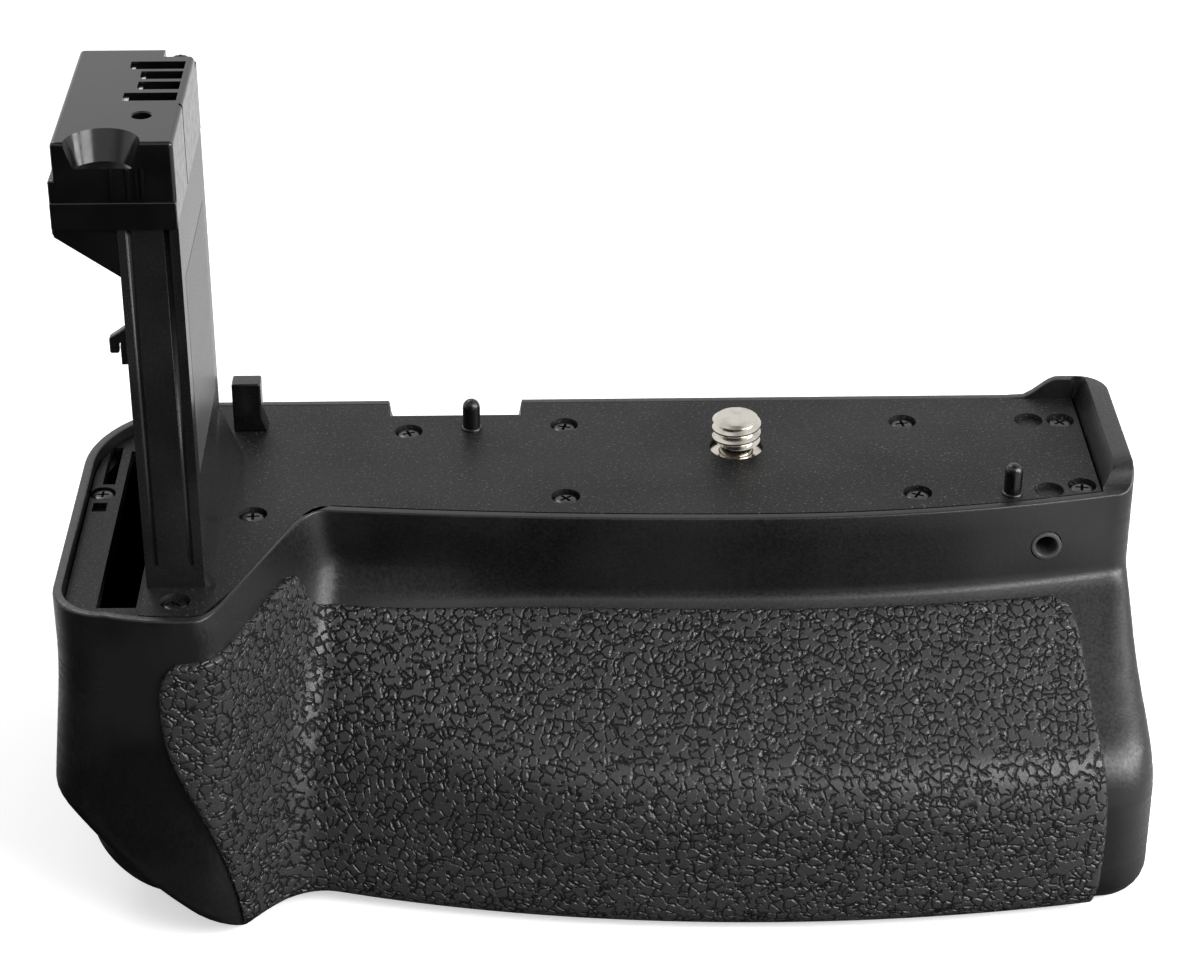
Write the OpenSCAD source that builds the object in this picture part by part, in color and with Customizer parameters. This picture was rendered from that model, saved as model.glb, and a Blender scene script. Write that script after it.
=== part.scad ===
// Camera battery grip: a body that screws under a camera, with a battery tower on the left,
// a rubber hand pad on the front, a screw and thumbwheel, and a sliding tray for two packs.
// Millimetres, +Z up. Origin: mouth of the tripod socket in the base. -Y is the front.

/* [Body] */
// Height of the seat plate above the base
body_h = 46; // [45:1:52]
// Reach from the screw axis to the inner end of the battery bay
bay_reach = 61.1; // [58:0.1:66]
// Width of the left column, from the bay's inner end to the left end
column_w = 23.5; // [22.5:0.1:27]
// Reach from the screw axis to the rear edge, at the seat
rear_reach = 13.9; // [13:0.1:17]
// Reach from the screw axis to the front edge of the seat
seat_reach = 18.9; // [18:0.1:22]
// Room between the battery bay and the front of the hand bulge
belly_room = 15.8; // [15:0.1:20]
// Room between the battery bay and the front of the left column, at the seat
column_room = 14.6; // [14:0.1:19]
// Thickness of the body wall
wall = 2; // [1.8:0.1:2.4]
// Height of the upright band under the seat
band_h = 7.5; // [6:0.5:9]
// Slope of the bulge's upper face, degrees under level
belly_slope = 33; // [28:1:40]
// Radius of the hollow between the band and the slope
hollow_r = 4; // [3:0.5:5]
// Radius of the bulge's shoulder
shoulder_r = 9; // [6:0.5:10]
// Radius of the bottom edge
base_r = 4.5; // [4:0.1:5]
// Height of the raised lip at the right end
lip_h = 2.8; // [1.5:0.1:4]

/* [Seat] */
// Thickness of the seat plate
plate_t = 1.8; // [1.6:0.1:2.2]
// Width of the rim around the seat plate
rim_w = 1.2; // [1:0.1:1.5]
// Radius of the cross-head screws' heads
head_r = 1.65; // [1.4:0.05:1.8]
// Radius of the cross-head screws' shanks
shank_r = 0.95; // [0.7:0.05:1]
// Radius of the two locating pins
pin_r = 1.15; // [1:0.05:1.4]
// Height of the locating pins above the seat
pin_h = 4.3; // [3:0.1:5]
// Height of the square guide post above the seat
post_h = 7; // [5:0.5:9]

/* [Camera screw] */
// Outer radius of the quarter-inch camera thread
thread_r = 3.175; // [3:0.005:3.2]
// Height of the thread's tip above the seat
thread_h = 4.4; // [4:0.1:5]
// Radius of the screw's shaft
shaft_r = 2.1; // [1.9:0.05:2.3]
// Radius of the thumbwheel
wheel_r = 19.5; // [18.5:0.1:20]
// Thickness of the thumbwheel
wheel_t = 6; // [4:0.2:6.4]

/* [Tower] */
// Height of the battery tower above the seat
tower_h = 58; // [50:1:70]
// Depth of the tower, front to back
tower_d = 27.5; // [24:0.5:30]
// Thickness of the tower's shaft
tower_t = 7; // [6.4:0.1:7.4]
// Height of the tower's head
tower_head_h = 10; // [8:0.5:12]
// Overhang of the head to the left of the shaft
head_over = 6.8; // [5:0.1:7.2]

/* [Grip pad] */
// Thickness of the rubber pad
pad_t = 0.9; // [0.6:0.1:1.2]

/* [Release button] */
// Radius of the release button's cap
button_r = 5.5; // [4.5:0.1:6]
// Height of the button above the sloped corner
button_h = 3; // [2:0.1:3.6]
// Travel of the release button
button_travel = 1.2; // [0.8:0.1:1.3]

/* [Battery tray] */
// Length of one battery well
well_l = 49.6; // [46:0.2:50]
// Width of a battery well
well_w = 36; // [34:0.2:36.4]
// Height of a battery well
well_h = 15.2; // [14:0.1:15.6]
// Thickness of the tray's walls
tray_wall = 1.2; // [1:0.1:1.4]

/* [Hidden] */
$fn = 48;
H = body_h;
YR = rear_reach;
YC = -seat_reach;
// side walls stand this much further out below the band
left_flare = 1.9;
right_flare = 1.2;
rear_flare = 2.6;
rear_base_r = 1.8;
// running and assembly clearances
run = 0.05;
fit = 0.15;
gap = 0.3;

// tray and its bay
tray_z = wall + gap;
tray_floor = 1.3;
tray_h = tray_floor + well_h;
tray_top = tray_z + tray_h;
tray_y1 = YR - 2.9;
tray_y0 = tray_y1 - well_w - 2 * tray_wall;
contact_room = 1.6;
tray_l = 2 * (well_l + contact_room) + 3 * tray_wall;
tray_x0 = -bay_reach;
tray_x1 = tray_x0 + tray_l;
end_room = 6.5;

// the body stands around the bay
XW = tray_x1 + end_room;
XR = XW - right_flare;
XL = tray_x0 - column_w;
YB = tray_y0 - belly_room;
YK = tray_y0 - column_room;
// the sloped left corner starts here above the base and rises this much per mm
corner_z = 16.5;
corner_rise = 0.775;
corner_a = atan(corner_rise);
// tripod socket, ahead of the battery bay
sock_y = tray_y0 - 7.2;
sock_r = 4.4;
sock_h = 7;
sock_land_r = sock_r + 1.4;

// smooth step, smooth least and smooth greatest of two values
function ss(t) = let(u = max(0, min(1, t))) u * u * (3 - 2 * u);
function smin(a, b, k) = let(h = max(k - abs(a - b), 0) / k) min(a, b) - h * h * k / 4;
function smax(a, b, k) = -smin(-a, -b, k);

// share of the forward run of the bulge at a drop d under the seat
belly_run = YC - YB;
hollow_run = hollow_r * (1 - sin(belly_slope));
hollow_drop = band_h + hollow_r * cos(belly_slope);
slope_run = belly_run - shoulder_r * (1 - sin(belly_slope));
slope_drop = hollow_drop + (slope_run - hollow_run) * tan(belly_slope);
belly_drop = slope_drop + shoulder_r * cos(belly_slope);
function belly_t(d) =
    d <= band_h ? 0 :
    d <= hollow_drop ? (hollow_r - sqrt(hollow_r * hollow_r - pow(d - band_h, 2))) / belly_run :
    d <= slope_drop ? (hollow_run + (d - hollow_drop) / tan(belly_slope)) / belly_run :
    d <= belly_drop ? (belly_run - shoulder_r
        + sqrt(shoulder_r * shoulder_r - pow(belly_drop - d, 2))) / belly_run : 1;
// the finger valley beside the column fills out evenly instead
function valley_t(d) = pow(sin(90 * max(0, min(1, (d - band_h + 0.5) / (H - 9)))), 1.2);
function seat_y(x) = YC + (x > 4 ? pow(x - 4, 2) / 370 : pow(x - 4, 2) / 1010);
function belly_y(x) = YB + pow(x - 5, 2) / 452;
function valley_share(x) = ss((XL + 64.6 - x) / 35);
function bulge_y(x, d) = let(w = valley_share(x))
    seat_y(x) + (belly_y(x) - seat_y(x)) * ((1 - w) * belly_t(d) + w * valley_t(d));
// the column at the left: a bowed front and a flank that leans back into the valley
function column_y(x, d) = let(q = max(0, min(1, d / 44)))
    smax(YK + 0.02 * pow(x - XL - 15.6, 2) - 3 * ss((d - 8) / 32),
         YK + 1.8 - 2.6 * q + (2.5 - 1.5 * q) * (x - XL - 20 - 2 * q), 3.5);
function front_y(x, d) = smin(column_y(x, d), bulge_y(x, d), 5 + 4 * max(0, min(1, d / 44)));
// the same face moved inwards by w
function inner_y(x, d, w) = w <= 0 ? front_y(x, d) :
    max([for (a = [-1:1], b = [-1:1])
        front_y(x + 0.7 * w * a, d + 0.7 * w * b) + w * sqrt(1 - 0.49 * (a * a + b * b))]);
function left_x(d) = smax(XL - left_flare * ss((d - 6) / 22),
    XL - left_flare + (d - H + corner_z) / corner_rise, 3);
function left_in(d, w) = max(left_x(d) + w, left_x(d + w * cos(corner_a)) + w * sin(corner_a));
function right_x(d) = XR + right_flare * ss((d - 9) / 14);
function rear_y(d) = YR + rear_flare * ss((d - 8) / 14);
function edge_in(d, r) = d < H - r ? 0 : r - sqrt(max(r * r - pow(d - H + r, 2), 0));

// one level of the body's outline: e insets it evenly, w gives the inside of a wall w thick
rear_corner = 4;
left_corner = 16.5;
front_corner = 3;
column_n = 7;
front_n = 27;
function front_x(i) = XL + 24.6 + (XR - 6 - XL - 24.6) * i / (front_n - 1);
function ring(d, e = 0, w = 0) = let(
    f = edge_in(d, base_r) + e,
    L = left_in(d, w) + 0.35 * edge_in(d, base_r) + e,
    R = right_x(d) - f - w,
    B = rear_y(d) - edge_in(d, rear_base_r) - e - w,
    rc = max(rear_corner - e - w, 0.6),
    lc = max(left_corner * (1 - 0.5 * ss((d - 12) / 14)) - e - w, 2),
    fc = max(front_corner - f - w, 0.8),
    yl = inner_y(L + fc, d, w) + f,
    yr = inner_y(R - fc, d, w) + f)
    concat(
        [for (a = [0:22.5:90]) [R - rc + rc * cos(a), B - rc + rc * sin(a)]],
        [for (i = [1:3]) [R - rc + (L + lc - R + rc) * i / 4, B]],
        [for (a = [90:15:180]) [L + lc + lc * cos(a), B - lc + lc * sin(a)]],
        [for (i = [1:3]) [L, B - lc + (yl + fc - B + lc) * i / 4]],
        [for (a = [180:30:270]) [L + fc + fc * cos(a), yl + fc + fc * sin(a)]],
        [for (i = [1:column_n - 1]) let(x = L + fc + (front_x(0) - L - fc) * i / column_n)
            [x, inner_y(x, d, w) + f]],
        [for (i = [0:front_n - 1]) [front_x(i), inner_y(front_x(i), d, w) + f]],
        [for (a = [270:30:360]) [R - fc + fc * cos(a), yr + fc + fc * sin(a)]]);
front_i = 5 + 3 + 7 + 3 + 3;

// solid through a list of levels
module loft(levels, e = 0, w = 0) {
    n = len(ring(0));
    m = len(levels);
    ends = [for (d = [levels[0], levels[m - 1]]) [max(XL + 18.6, left_in(d, w) + 8), -8, H - d]];
    pts = concat([for (d = levels) for (p = ring(d, e, w)) [p[0], p[1], H - d]], ends);
    sides = [for (k = [0:m - 2], i = [0:n - 1]) let(a = k * n + i, b = k * n + (i + 1) % n)
        each [[a, b, b + n], [a, b + n, a + n]]];
    lid = [for (i = [0:n - 1]) [m * n, (i + 1) % n, i]];
    sole = [for (i = [0:n - 1]) let(k = (m - 1) * n) [m * n + 1, k + i, k + (i + 1) % n]];
    polyhedron(pts, concat(sides, lid, sole));
}

// levels of the outside and of the cavity, as drops under the seat
top_levels = [0, 3.5, 5.2, band_h - 1, band_h, band_h + 1, band_h + 2, hollow_drop];
mid_levels = [for (s = [0.2, 0.45, 0.7, 0.9, 1]) hollow_drop + (slope_drop - hollow_drop) * s];
low_levels = [for (s = [0.35, 0.7, 1]) slope_drop + (belly_drop - slope_drop) * s];
base_levels = [for (s = [0.25, 0.5, 0.75, 1]) belly_drop + (H - base_r - belly_drop) * s];
edge_levels = [for (a = [25, 45, 65, 90]) H - base_r + base_r * sin(a)];
outer_levels = concat(top_levels, mid_levels, low_levels, base_levels, edge_levels);
inner_levels = concat([-1, band_h - 2, band_h + 2],
    [for (i = [0:10]) hollow_drop + 1 + (H - wall - hollow_drop - 1) * i / 10]);

// where the cross-head screws of the seat stand, the inner four just outside the thumbwheel
inner_x = wheel_r + 2.9;
seat_screws = [
    [XL + 41.7, YR - 8.9], [-inner_x, YR - 7.5], [-inner_x, YC + 6.2], [inner_x, YR - 7.5],
    [inner_x, YC + 6.2], [XR - 6.8, YR - 7.6], [XR - 6.6, seat_y(XR - 6.6) + 3.4],
    [XL + 22.8, YC + 2.4], [XL + 15.1, YK + 4.8]];
boss_screws = [for (i = [0, 5, 6, 7, 8]) seat_screws[i]];
frame_screw = [XL + 2.9, -8];
frame_drop = 1.6;
frame_t = 1.6;
frame_x = XL + 11;

// board and wheel stand above the battery bay
board_z = tray_top + 6;
board_t = 1.4;
cradle_z = tray_top + 4;
cradle_t = 1.6;
wheel_z = cradle_z + cradle_t + 0.4;

// jack, in the band near the right end
jack_x = XR - 11.4;
jack_z = H - 6.3;
jack_r = 1.3;

// tray's end cap, its lock and its rails
cap_t = 4;
knob_y = tray_y1 - 19;
knob_z = tray_z + tray_h / 2;
knob_r = 6.8;
rail_w = 2.6;
rail_h = 7;

// bottom cover
cover_x0 = tray_x0 + 5.1;
cover_x1 = XW - 7.4;
cover_y0 = tray_y0 - gap - rail_w - 1;
cover_y1 = tray_y1 + 2.5;
cover_screws = [for (x = [cover_x0 + 8, -sock_land_r - 2.2, cover_x1 - 8],
    y = [tray_y0 - gap - rail_w / 2, tray_y1 + gap + 1]) [x, y]];
cover_shank = 0.7;
cover_head = 1.15;

// the sloped corner's frame: outward is local +Z, the button's axis is at its middle
button_y = YK + 12;
button_z = 7.5;
button_x = XL - left_flare + (corner_z - button_z) / corner_rise;
bezel_t = 1.2;
switch_drop = 9.2;
switch_pegs = 8.6;
module on_corner() {
    translate([button_x, button_y, button_z]) rotate([0, 180 + corner_a, 0]) children();
}

// box given by its two corners
module box(a, b) {
    translate(a) cube(b - a);
}

// cross-head screw, head up, the underside of its head at the origin
module cross_screw(hr, hh, sr, sl) {
    difference() {
        union() {
            cylinder(r = hr, h = hh);
            translate([0, 0, -sl]) cylinder(r = sr, h = sl);
        }
        box([-hr * 0.62, -hr * 0.15, hh * 0.45], [hr * 0.62, hr * 0.15, hh + 1]);
        box([-hr * 0.15, -hr * 0.62, hh * 0.45], [hr * 0.15, hr * 0.62, hh + 1]);
    }
}

// notch in the rear edge of the seat
notch_x0 = XL + 39;
notch_x1 = XL + 56.4;
notch_y = YR - 4.5;
notch_drop = 2.3;

// outline of the rubber pad, seen from the front: [x, drop under the seat]
pad_outline = [
    [XL + 27.6, 4.6], [XL + 29.8, hollow_drop - 0.9], [XL + 33, hollow_drop + 0.1],
    [XR - 10.7, hollow_drop + 0.5], [XR - 8.3, hollow_drop + 1.6],
    [XR - 7.4, hollow_drop + 3.6], [XR - 7.2, slope_drop - 4],
    [XR - 6.1, slope_drop + 1.2], [XR - 5.6, belly_drop], [XR - 5.6, H - 9], [XR - 6.2, H - 1.4],
    [XL + 21.2, H - 1.4], [XL + 20.6, H - 7], [XL + 18.6, 29.6], [XL + 14.6, 21.3], [XL + 13.2, 16.6],
    [XL + 12.9, 10], [XL + 14, 7], [XL + 15.6, 5.8], [XL + 22, 5.8]];

module main_housing() color([0.09, 0.09, 0.095]) {
    difference() {
        union() {
            difference() {
                loft(outer_levels);
                loft(inner_levels, 0, wall);
            }
            seat_bosses();
            tray_ribs();
            right_lip();
            // floor of the rear notch
            box([notch_x0 - 1, notch_y - 1.5, H - 6], [notch_x1 + 1, YR - 1, H - notch_drop]);
            // seat for the tripod socket
            translate([0, sock_y, 0.5]) cylinder(r = sock_land_r, h = sock_h + 0.7);
            // pegs that carry the release switch
            for (s = [-1, 1]) on_corner() translate([0, s * switch_pegs, -switch_drop])
                cylinder(r = 2, h = switch_drop - 0.8);
        }
        // pocket for the seat plate and the storage frame
        translate([0, 0, H - plate_t]) intersection() {
            linear_extrude(lip_h + 6) polygon(ring(0, rim_w));
            box([XL - 5, YK - 5, -1], [XR - 4.2, YR + 5, lip_h + 9]);
        }
        translate([0, 0, H - frame_drop - frame_t]) intersection() {
            linear_extrude(6) polygon(ring(0, rim_w));
            box([XL - 5, YK - 5, -1], [frame_x, YR + 5, 9]);
        }
        box([notch_x0, notch_y, H - notch_drop], [notch_x1, YR + 5, H + 5]);
        // pilot holes
        for (p = boss_screws) translate([p[0], p[1], H - 10]) cylinder(r = shank_r + 0.02, h = 12);
        for (p = [boss_screws[0], boss_screws[3]])
            translate([p[0], p[1], board_z]) cylinder(r = shank_r + 0.02, h = 6.5);
        translate([frame_screw[0], frame_screw[1], H - 12]) cylinder(r = shank_r + 0.02, h = 12);
        for (p = cover_screws) translate([p[0], p[1], -1]) cylinder(r = cover_shank + 0.02, h = 8);
        for (s = [-1, 1]) on_corner() translate([0, s * switch_pegs, -switch_drop - 1])
            cylinder(r = cover_shank + 0.02, h = 6);
        // openings: bottom cover, tripod socket, tray, thumbwheel, jack, release button
        difference() {
            box([cover_x0 - fit, cover_y0 - fit, -1], [cover_x1 + fit, cover_y1 + fit, wall]);
            translate([0, sock_y, -2]) cylinder(r = sock_land_r, h = sock_h);
        }
        translate([0, sock_y, -1]) cylinder(r = sock_r, h = sock_h + 1);
        box([XW - 3.6, tray_y0 - gap, tray_z - 0.2], [XW + 5, tray_y1 + gap, tray_top + gap]);
        box([-15, YR - 4, wheel_z - 0.8], [15, YR + 9, wheel_z + wheel_t + 0.8]);
        translate([jack_x, 0, jack_z]) rotate([90, 0, 0]) cylinder(r = jack_r + 0.75, h = 30);
        on_corner() translate([0, 0, -6]) cylinder(r = button_r + 1.6, h = 12);
    }
}

// screw bosses under the seat, each tied to the nearest wall
module seat_bosses() {
    for (p = boss_screws) translate([p[0], p[1], H - 14]) cylinder(r = 2.5, h = 14 - plate_t);
    for (p = [boss_screws[0], boss_screws[3]])
        translate([p[0], p[1], board_z + board_t]) cylinder(r = 2.5, h = H - 14 - board_z);
    for (i = [0, 1]) box([boss_screws[i][0] - 1, boss_screws[i][1], H - 14],
        [boss_screws[i][0] + 1, YR - 1, H - plate_t]);
    box([boss_screws[3][0], boss_screws[3][1] + 1.3, H - 14],
        [boss_screws[3][0] + 8.3, boss_screws[3][1] + 3.1, H - plate_t]);
    box([boss_screws[4][0] - 1, YK + 1.2, H - 14], [boss_screws[4][0] + 1, boss_screws[4][1], H - plate_t]);
    box([XL + 1, frame_screw[1] - 1.8, H - 12], [XL + 4.4, frame_screw[1] + 1.8, H - frame_drop - frame_t]);
}

// ribs that guide the tray, and the keeper that its lock turns behind
module tray_ribs() {
    x1 = XW - 2.5;
    y0 = tray_y0 - gap;
    difference() {
        union() {
            box([cover_x0 + 5, y0 - rail_w, wall], [x1, y0, wall + rail_h]);
            for (x = [cover_x0 + 14, 14, x1 - 12])
                box([x - 1, front_y(x, H - 6) + 1, wall], [x + 1, y0, wall + rail_h - 1]);
            box([cover_x0 + 5, tray_y1 + gap, wall], [x1, rear_y(30) - 1, wall + rail_h]);
        }
        translate([0, sock_y, 0]) cylinder(r = sock_r, h = 20);
    }
    box([XW - cap_t, knob_y - 6, tray_top + 0.5], [XW - 1, knob_y + 6, tray_top + 5.2]);
}

// raised lip round the right end of the seat, chamfered inside
module right_lip() {
    difference() {
        intersection() {
            translate([0, 0, H - 1]) linear_extrude(lip_h + 1) polygon(ring(0));
            union() {
                box([XR - 4.2, YC - 5, H - 2], [XR + 5, YR + 5, H + lip_h]);
                box([XR - 9.2, YR - rim_w - 1.6, H - 2], [XR + 5, YR + 5, H + lip_h]);
            }
        }
        // inside slope, rear slope and front run-out
        translate([XR - 4.2, 0, H]) rotate([0, 40, 0]) box([-9, -60, 0], [0, YR - rim_w - 1.4, 9]);
        translate([XR - 9.2, 0, H]) rotate([0, 50, 0]) box([-9, 0, -1], [0, 60, 12]);
        translate([0, YC + 5.4, H]) rotate([-55, 0, 0]) box([0, -9, 0], [99, 0, 9]);
    }
}

module bottom_cover() color([0.1, 0.1, 0.1]) difference() {
    box([cover_x0, cover_y0, 0], [cover_x1, cover_y1, wall]);
    for (p = cover_screws) translate([p[0], p[1], -1]) {
        cylinder(r = cover_shank + fit, h = 9);
        cylinder(r = cover_head + fit, h = 1.9);
    }
    translate([0, sock_y, -1]) cylinder(r = sock_land_r + fit, h = 9);
    // grip lines across the sole
    for (x = [cover_x0 + 14, cover_x1 - 32], i = [0:6])
        box([x + i * 3, cover_y0 + 6, -1], [x + 1.2 + i * 3, cover_y1 - 6, 0.4]);
}

module cover_fixings() color([0.2, 0.2, 0.21]) {
    for (p = cover_screws) translate([p[0], p[1], 0.9]) rotate([180, 0, 0])
        cross_screw(cover_head, 0.75, cover_shank, 5);
}

module tripod_socket() color([0.7, 0.7, 0.68]) translate([0, sock_y, 0]) difference() {
    cylinder(r = sock_r, h = sock_h);
    translate([0, 0, -1]) cylinder(r = thread_r, h = sock_h);
}

module top_plate() color([0.1, 0.1, 0.105]) difference() {
    intersection() {
        translate([0, 0, H - plate_t]) linear_extrude(plate_t) polygon(ring(0, rim_w + fit));
        box([frame_x + fit / 2, YK - 5, 0], [XR - 4.2 - fit, YR + 5, H + 9]);
    }
    box([notch_x0 - fit, notch_y - fit, H - 5], [notch_x1 + fit, YR + 5, H + 5]);
    for (p = seat_screws) translate([p[0], p[1], H]) {
        translate([0, 0, -5]) cylinder(r = shank_r + fit, h = 9);
        translate([0, 0, -1.3]) cylinder(r = head_r + 0.2, h = 9);
    }
    for (p = pin_spots) translate([p[0], p[1], H - 5]) cylinder(r = pin_foot_r, h = 9);
    // two plain round recesses near the right end
    for (y = [YR - 7.5, seat_y(XR - 11) + 3.2])
        translate([XR - 11, y, H - 0.7]) cylinder(r = 1.9, h = 3);
    translate([0, 0, H - 5]) cylinder(r = ring_r, h = 9);
    post_foot(0, 9);
    for (y = tower_screws) translate([tower_x0 + 3.4, y, H - 5]) cylinder(r = shank_r + fit, h = 9);
    translate([tower_x0 + 3.4, tower_y0 + 13.5, H - 5]) cylinder(r = 1.5, h = 9);
}
pin_spots = [[-inner_x - 12.2, YR - 8.2], [XR - 15.8, seat_y(XR - 15.8) + 3.2]];
pin_foot_r = pin_r + 0.2;
ring_r = 3.5;
post_x = XL + 20.6;
post_y = YR - 7.2;
module post_foot(e, h) {
    z = H - plate_t - 1;
    box([post_x - 1.5 - e, post_y - 1 - e, z], [post_x + 1.5 + e, post_y + 1 + e, z + h]);
}

module seat_fixings() color([0.06, 0.06, 0.06]) {
    for (p = seat_screws) translate([p[0], p[1], H - 1.3]) cross_screw(head_r, 1, shank_r, 7.5);
    translate([frame_screw[0], frame_screw[1], H - frame_drop - 0.9])
        cross_screw(head_r - 0.15, 0.8, shank_r, 7.5);
}

module locating_pins() color([0.05, 0.05, 0.05]) for (p = pin_spots) translate([p[0], p[1], H - plate_t]) {
    cylinder(r = pin_foot_r, h = plate_t + 0.3);
    translate([0, 0, plate_t + 0.3]) cylinder(r = pin_r, h = pin_h - pin_r - 0.3);
    translate([0, 0, plate_t + pin_h - pin_r]) sphere(r = pin_r);
}

module guide_post() color([0.07, 0.07, 0.07]) {
    post_foot(0, 1 + plate_t);
    box([post_x - 1.9, post_y - 1.4, H], [post_x + 1.9, post_y + 1.4, H + post_h]);
    translate([post_x + 1.9, post_y + 1.4, H]) rotate([90, 0, 0]) linear_extrude(2.8)
        polygon([[-0.5, 0], [0.7, 0], [-0.05, 2.4], [-0.5, 2.4]]);
}

// frame and pocket that keep the camera's own battery door
pocket_x0 = XL + 5.4;
pocket_x1 = frame_x - 0.8;
pocket_y0 = YK + 6;
pocket_y1 = YR - 10.7;
pocket_z = H - 22;
module storage_frame() color([0.08, 0.08, 0.085]) difference() {
    union() {
        intersection() {
            translate([0, 0, H - frame_drop - frame_t])
                linear_extrude(frame_t) polygon(ring(0, rim_w + fit));
            box([XL - 5, YK - 5, 0], [frame_x - fit / 2, YR + 5, H + 9]);
        }
        box([pocket_x0 - 0.8, pocket_y0 - 0.8, pocket_z],
            [pocket_x1 + 0.7, pocket_y1 + 0.8, H - frame_drop - frame_t]);
    }
    box([pocket_x0, pocket_y0, pocket_z + 1], [pocket_x1, pocket_y1, H + 5]);
    translate([frame_screw[0], frame_screw[1], H - 9]) cylinder(r = shank_r + fit, h = 12);
    translate([frame_screw[0], frame_screw[1], H - frame_drop - 0.9]) cylinder(r = head_r, h = 3);
    // slot beside the rim, behind the screw, and a short one ahead of it
    box([XL + 2.6, frame_screw[1] + 2.4, H - 9], [XL + 4.2, pocket_y1 + 1, H + 5]);
    box([XL + 2, frame_screw[1] - 4.6, H - frame_drop - 0.8], [XL + 3.8, frame_screw[1] - 2.4, H + 5]);
}

// battery tower
tower_x0 = XL + 11.4;
tower_x1 = tower_x0 + tower_t;
tower_y0 = YK + 8;
tower_y1 = tower_y0 + tower_d;
tower_z1 = H + tower_h - tower_head_h;
tower_screws = [tower_y0 + 5, tower_y1 - 5];
skirt_w = 1.9;
module tower_shaft() color([0.08, 0.08, 0.085]) difference() {
    union() {
        box([tower_x0, tower_y0, H], [tower_x1, tower_y1, tower_z1]);
        // rib at the rear left, with the hook that trips the camera's door switch
        box([tower_x0 - 2.6, tower_y1 - 3, H], [tower_x0 + 1, tower_y1 - 0.6, tower_z1 - 7.5]);
        hook_y = tower_y1 - 2.4;
        translate([tower_x0 - 2.6, hook_y, H + 20]) rotate([-90, 0, 0]) difference() {
            union() {
                cylinder(r = 1.9, h = 1.4);
                box([-1.9, 0, 0], [0.5, 2.6, 1.4]);
            }
            box([-0.9, 0.4, -1], [0.5, 4, 3]);
        }
        // skirt that spreads the tower's foot to the right and to the rear
        polyhedron([[tower_x1, tower_y0, H], [tower_x1, tower_y0, H + 4.5],
            [tower_x1 + 1.3, tower_y0 + 0.6, H], [tower_x1, tower_y1, H],
            [tower_x1, tower_y1, H + 10], [tower_x1 + skirt_w, tower_y1, H]],
            [[0, 1, 2], [3, 5, 4], [0, 3, 4, 1], [0, 2, 5, 3], [1, 4, 2], [2, 4, 5]]);
        polyhedron([[tower_x1, tower_y1, H], [tower_x1 + skirt_w, tower_y1, H],
            [tower_x1 + skirt_w, tower_y1 + 6, H], [tower_x1 - 3, tower_y1 + 6.6, H],
            [tower_x1 - 3, tower_y1, H], [tower_x1, tower_y1, H + 10], [tower_x1 - 3, tower_y1, H + 10]],
            [[0, 1, 2, 3, 4], [0, 5, 1], [1, 5, 2], [2, 5, 3], [3, 5, 6], [3, 6, 4], [0, 4, 6, 5]]);
    }
    // hollow for the wiring
    box([tower_x0 + 1.5, tower_y0 + 2, H + 10], [tower_x1 - 1.5, tower_y1 - 4, tower_z1 + 1]);
    translate([tower_x0 + 3.4, tower_y0 + 13.5, H - 1]) cylinder(r = 1.5, h = 20);
    for (y = tower_screws) translate([tower_x0 + 3.4, y, H - 1]) cylinder(r = shank_r + 0.02, h = 8);
    // upright grooves in the front face
    for (x = [tower_x0 + 0.9, tower_x0 + 5.2])
        box([x, tower_y0 - 1, H + 3], [x + 0.7, tower_y0 + 0.5, tower_z1 + 1]);
    // shallow seat for the label
    box([tower_x1 - 0.12, tower_y0 + 3, H + 14], [tower_x1 + 1, tower_y1 - 3, tower_z1 - 8]);
}

module tower_label() color([0.32, 0.32, 0.33])
    box([tower_x1 - 0.12, tower_y0 + 3.15, H + 14.15], [tower_x1 + 0.02, tower_y1 - 3.15, tower_z1 - 8.15]);

// contact slots: [distance from the tower's front, length]
contact_slots = [[23.2, 6.4], [20.1, 4.9], [16.9, 4.9], [13.5, 6.2]];
module tower_head() color([0.05, 0.05, 0.05]) difference() {
    union() {
        box([tower_x0 - head_over, tower_y0, tower_z1], [tower_x1, tower_y1 + 1, H + tower_h]);
        box([tower_x0 - head_over - 0.6, tower_y0 - 0.3, tower_z1 - 1.4],
            [tower_x0 - 0.2, tower_y1 + 1, H + tower_h - 4.6]);
        // web under the overhang
        translate([0, tower_y1 + 1, 0]) rotate([90, 0, 0]) linear_extrude(tower_d + 1)
            polygon([[tower_x0 - 0.2, tower_z1], [tower_x0 - head_over - 0.4, tower_z1],
                [tower_x0 - head_over - 0.4, tower_z1 - 1.5], [tower_x0 - 0.2, tower_z1 - 6.8]]);
    }
    // finger notch in the top front edge
    translate([tower_x0 - 1, tower_y0, H + tower_h - 3]) cylinder(r = 4.2, h = 9);
    // round hole and contact slots in the top face
    translate([tower_x0 + 2.7, tower_y0 + 8, H + tower_h - 3]) cylinder(r = 1.1, h = 9);
    for (s = contact_slots) box([tower_x1 - 0.8 - s[1], tower_y0 + s[0] - 1.2, H + tower_h - 6],
        [tower_x1 - 0.8, tower_y0 + s[0] + 1.2, H + tower_h + 5]);
    // step at the rear right corner for the head's screw
    box([tower_x1 - 3.6, tower_y1 - 1.6, H + tower_h - 2.4], [tower_x1 + 5, tower_y1 + 5, H + tower_h + 5]);
    translate([tower_x1 - 1.8, tower_y1 - 0.3, tower_z1 + 0.5]) cylinder(r = 0.52, h = 20);
    // upright groove in the right face
    box([tower_x1 - 0.4, tower_y0 + 11, tower_z1 - 1], [tower_x1 + 1, tower_y0 + 11.5, H + tower_h + 1]);
}

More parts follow.
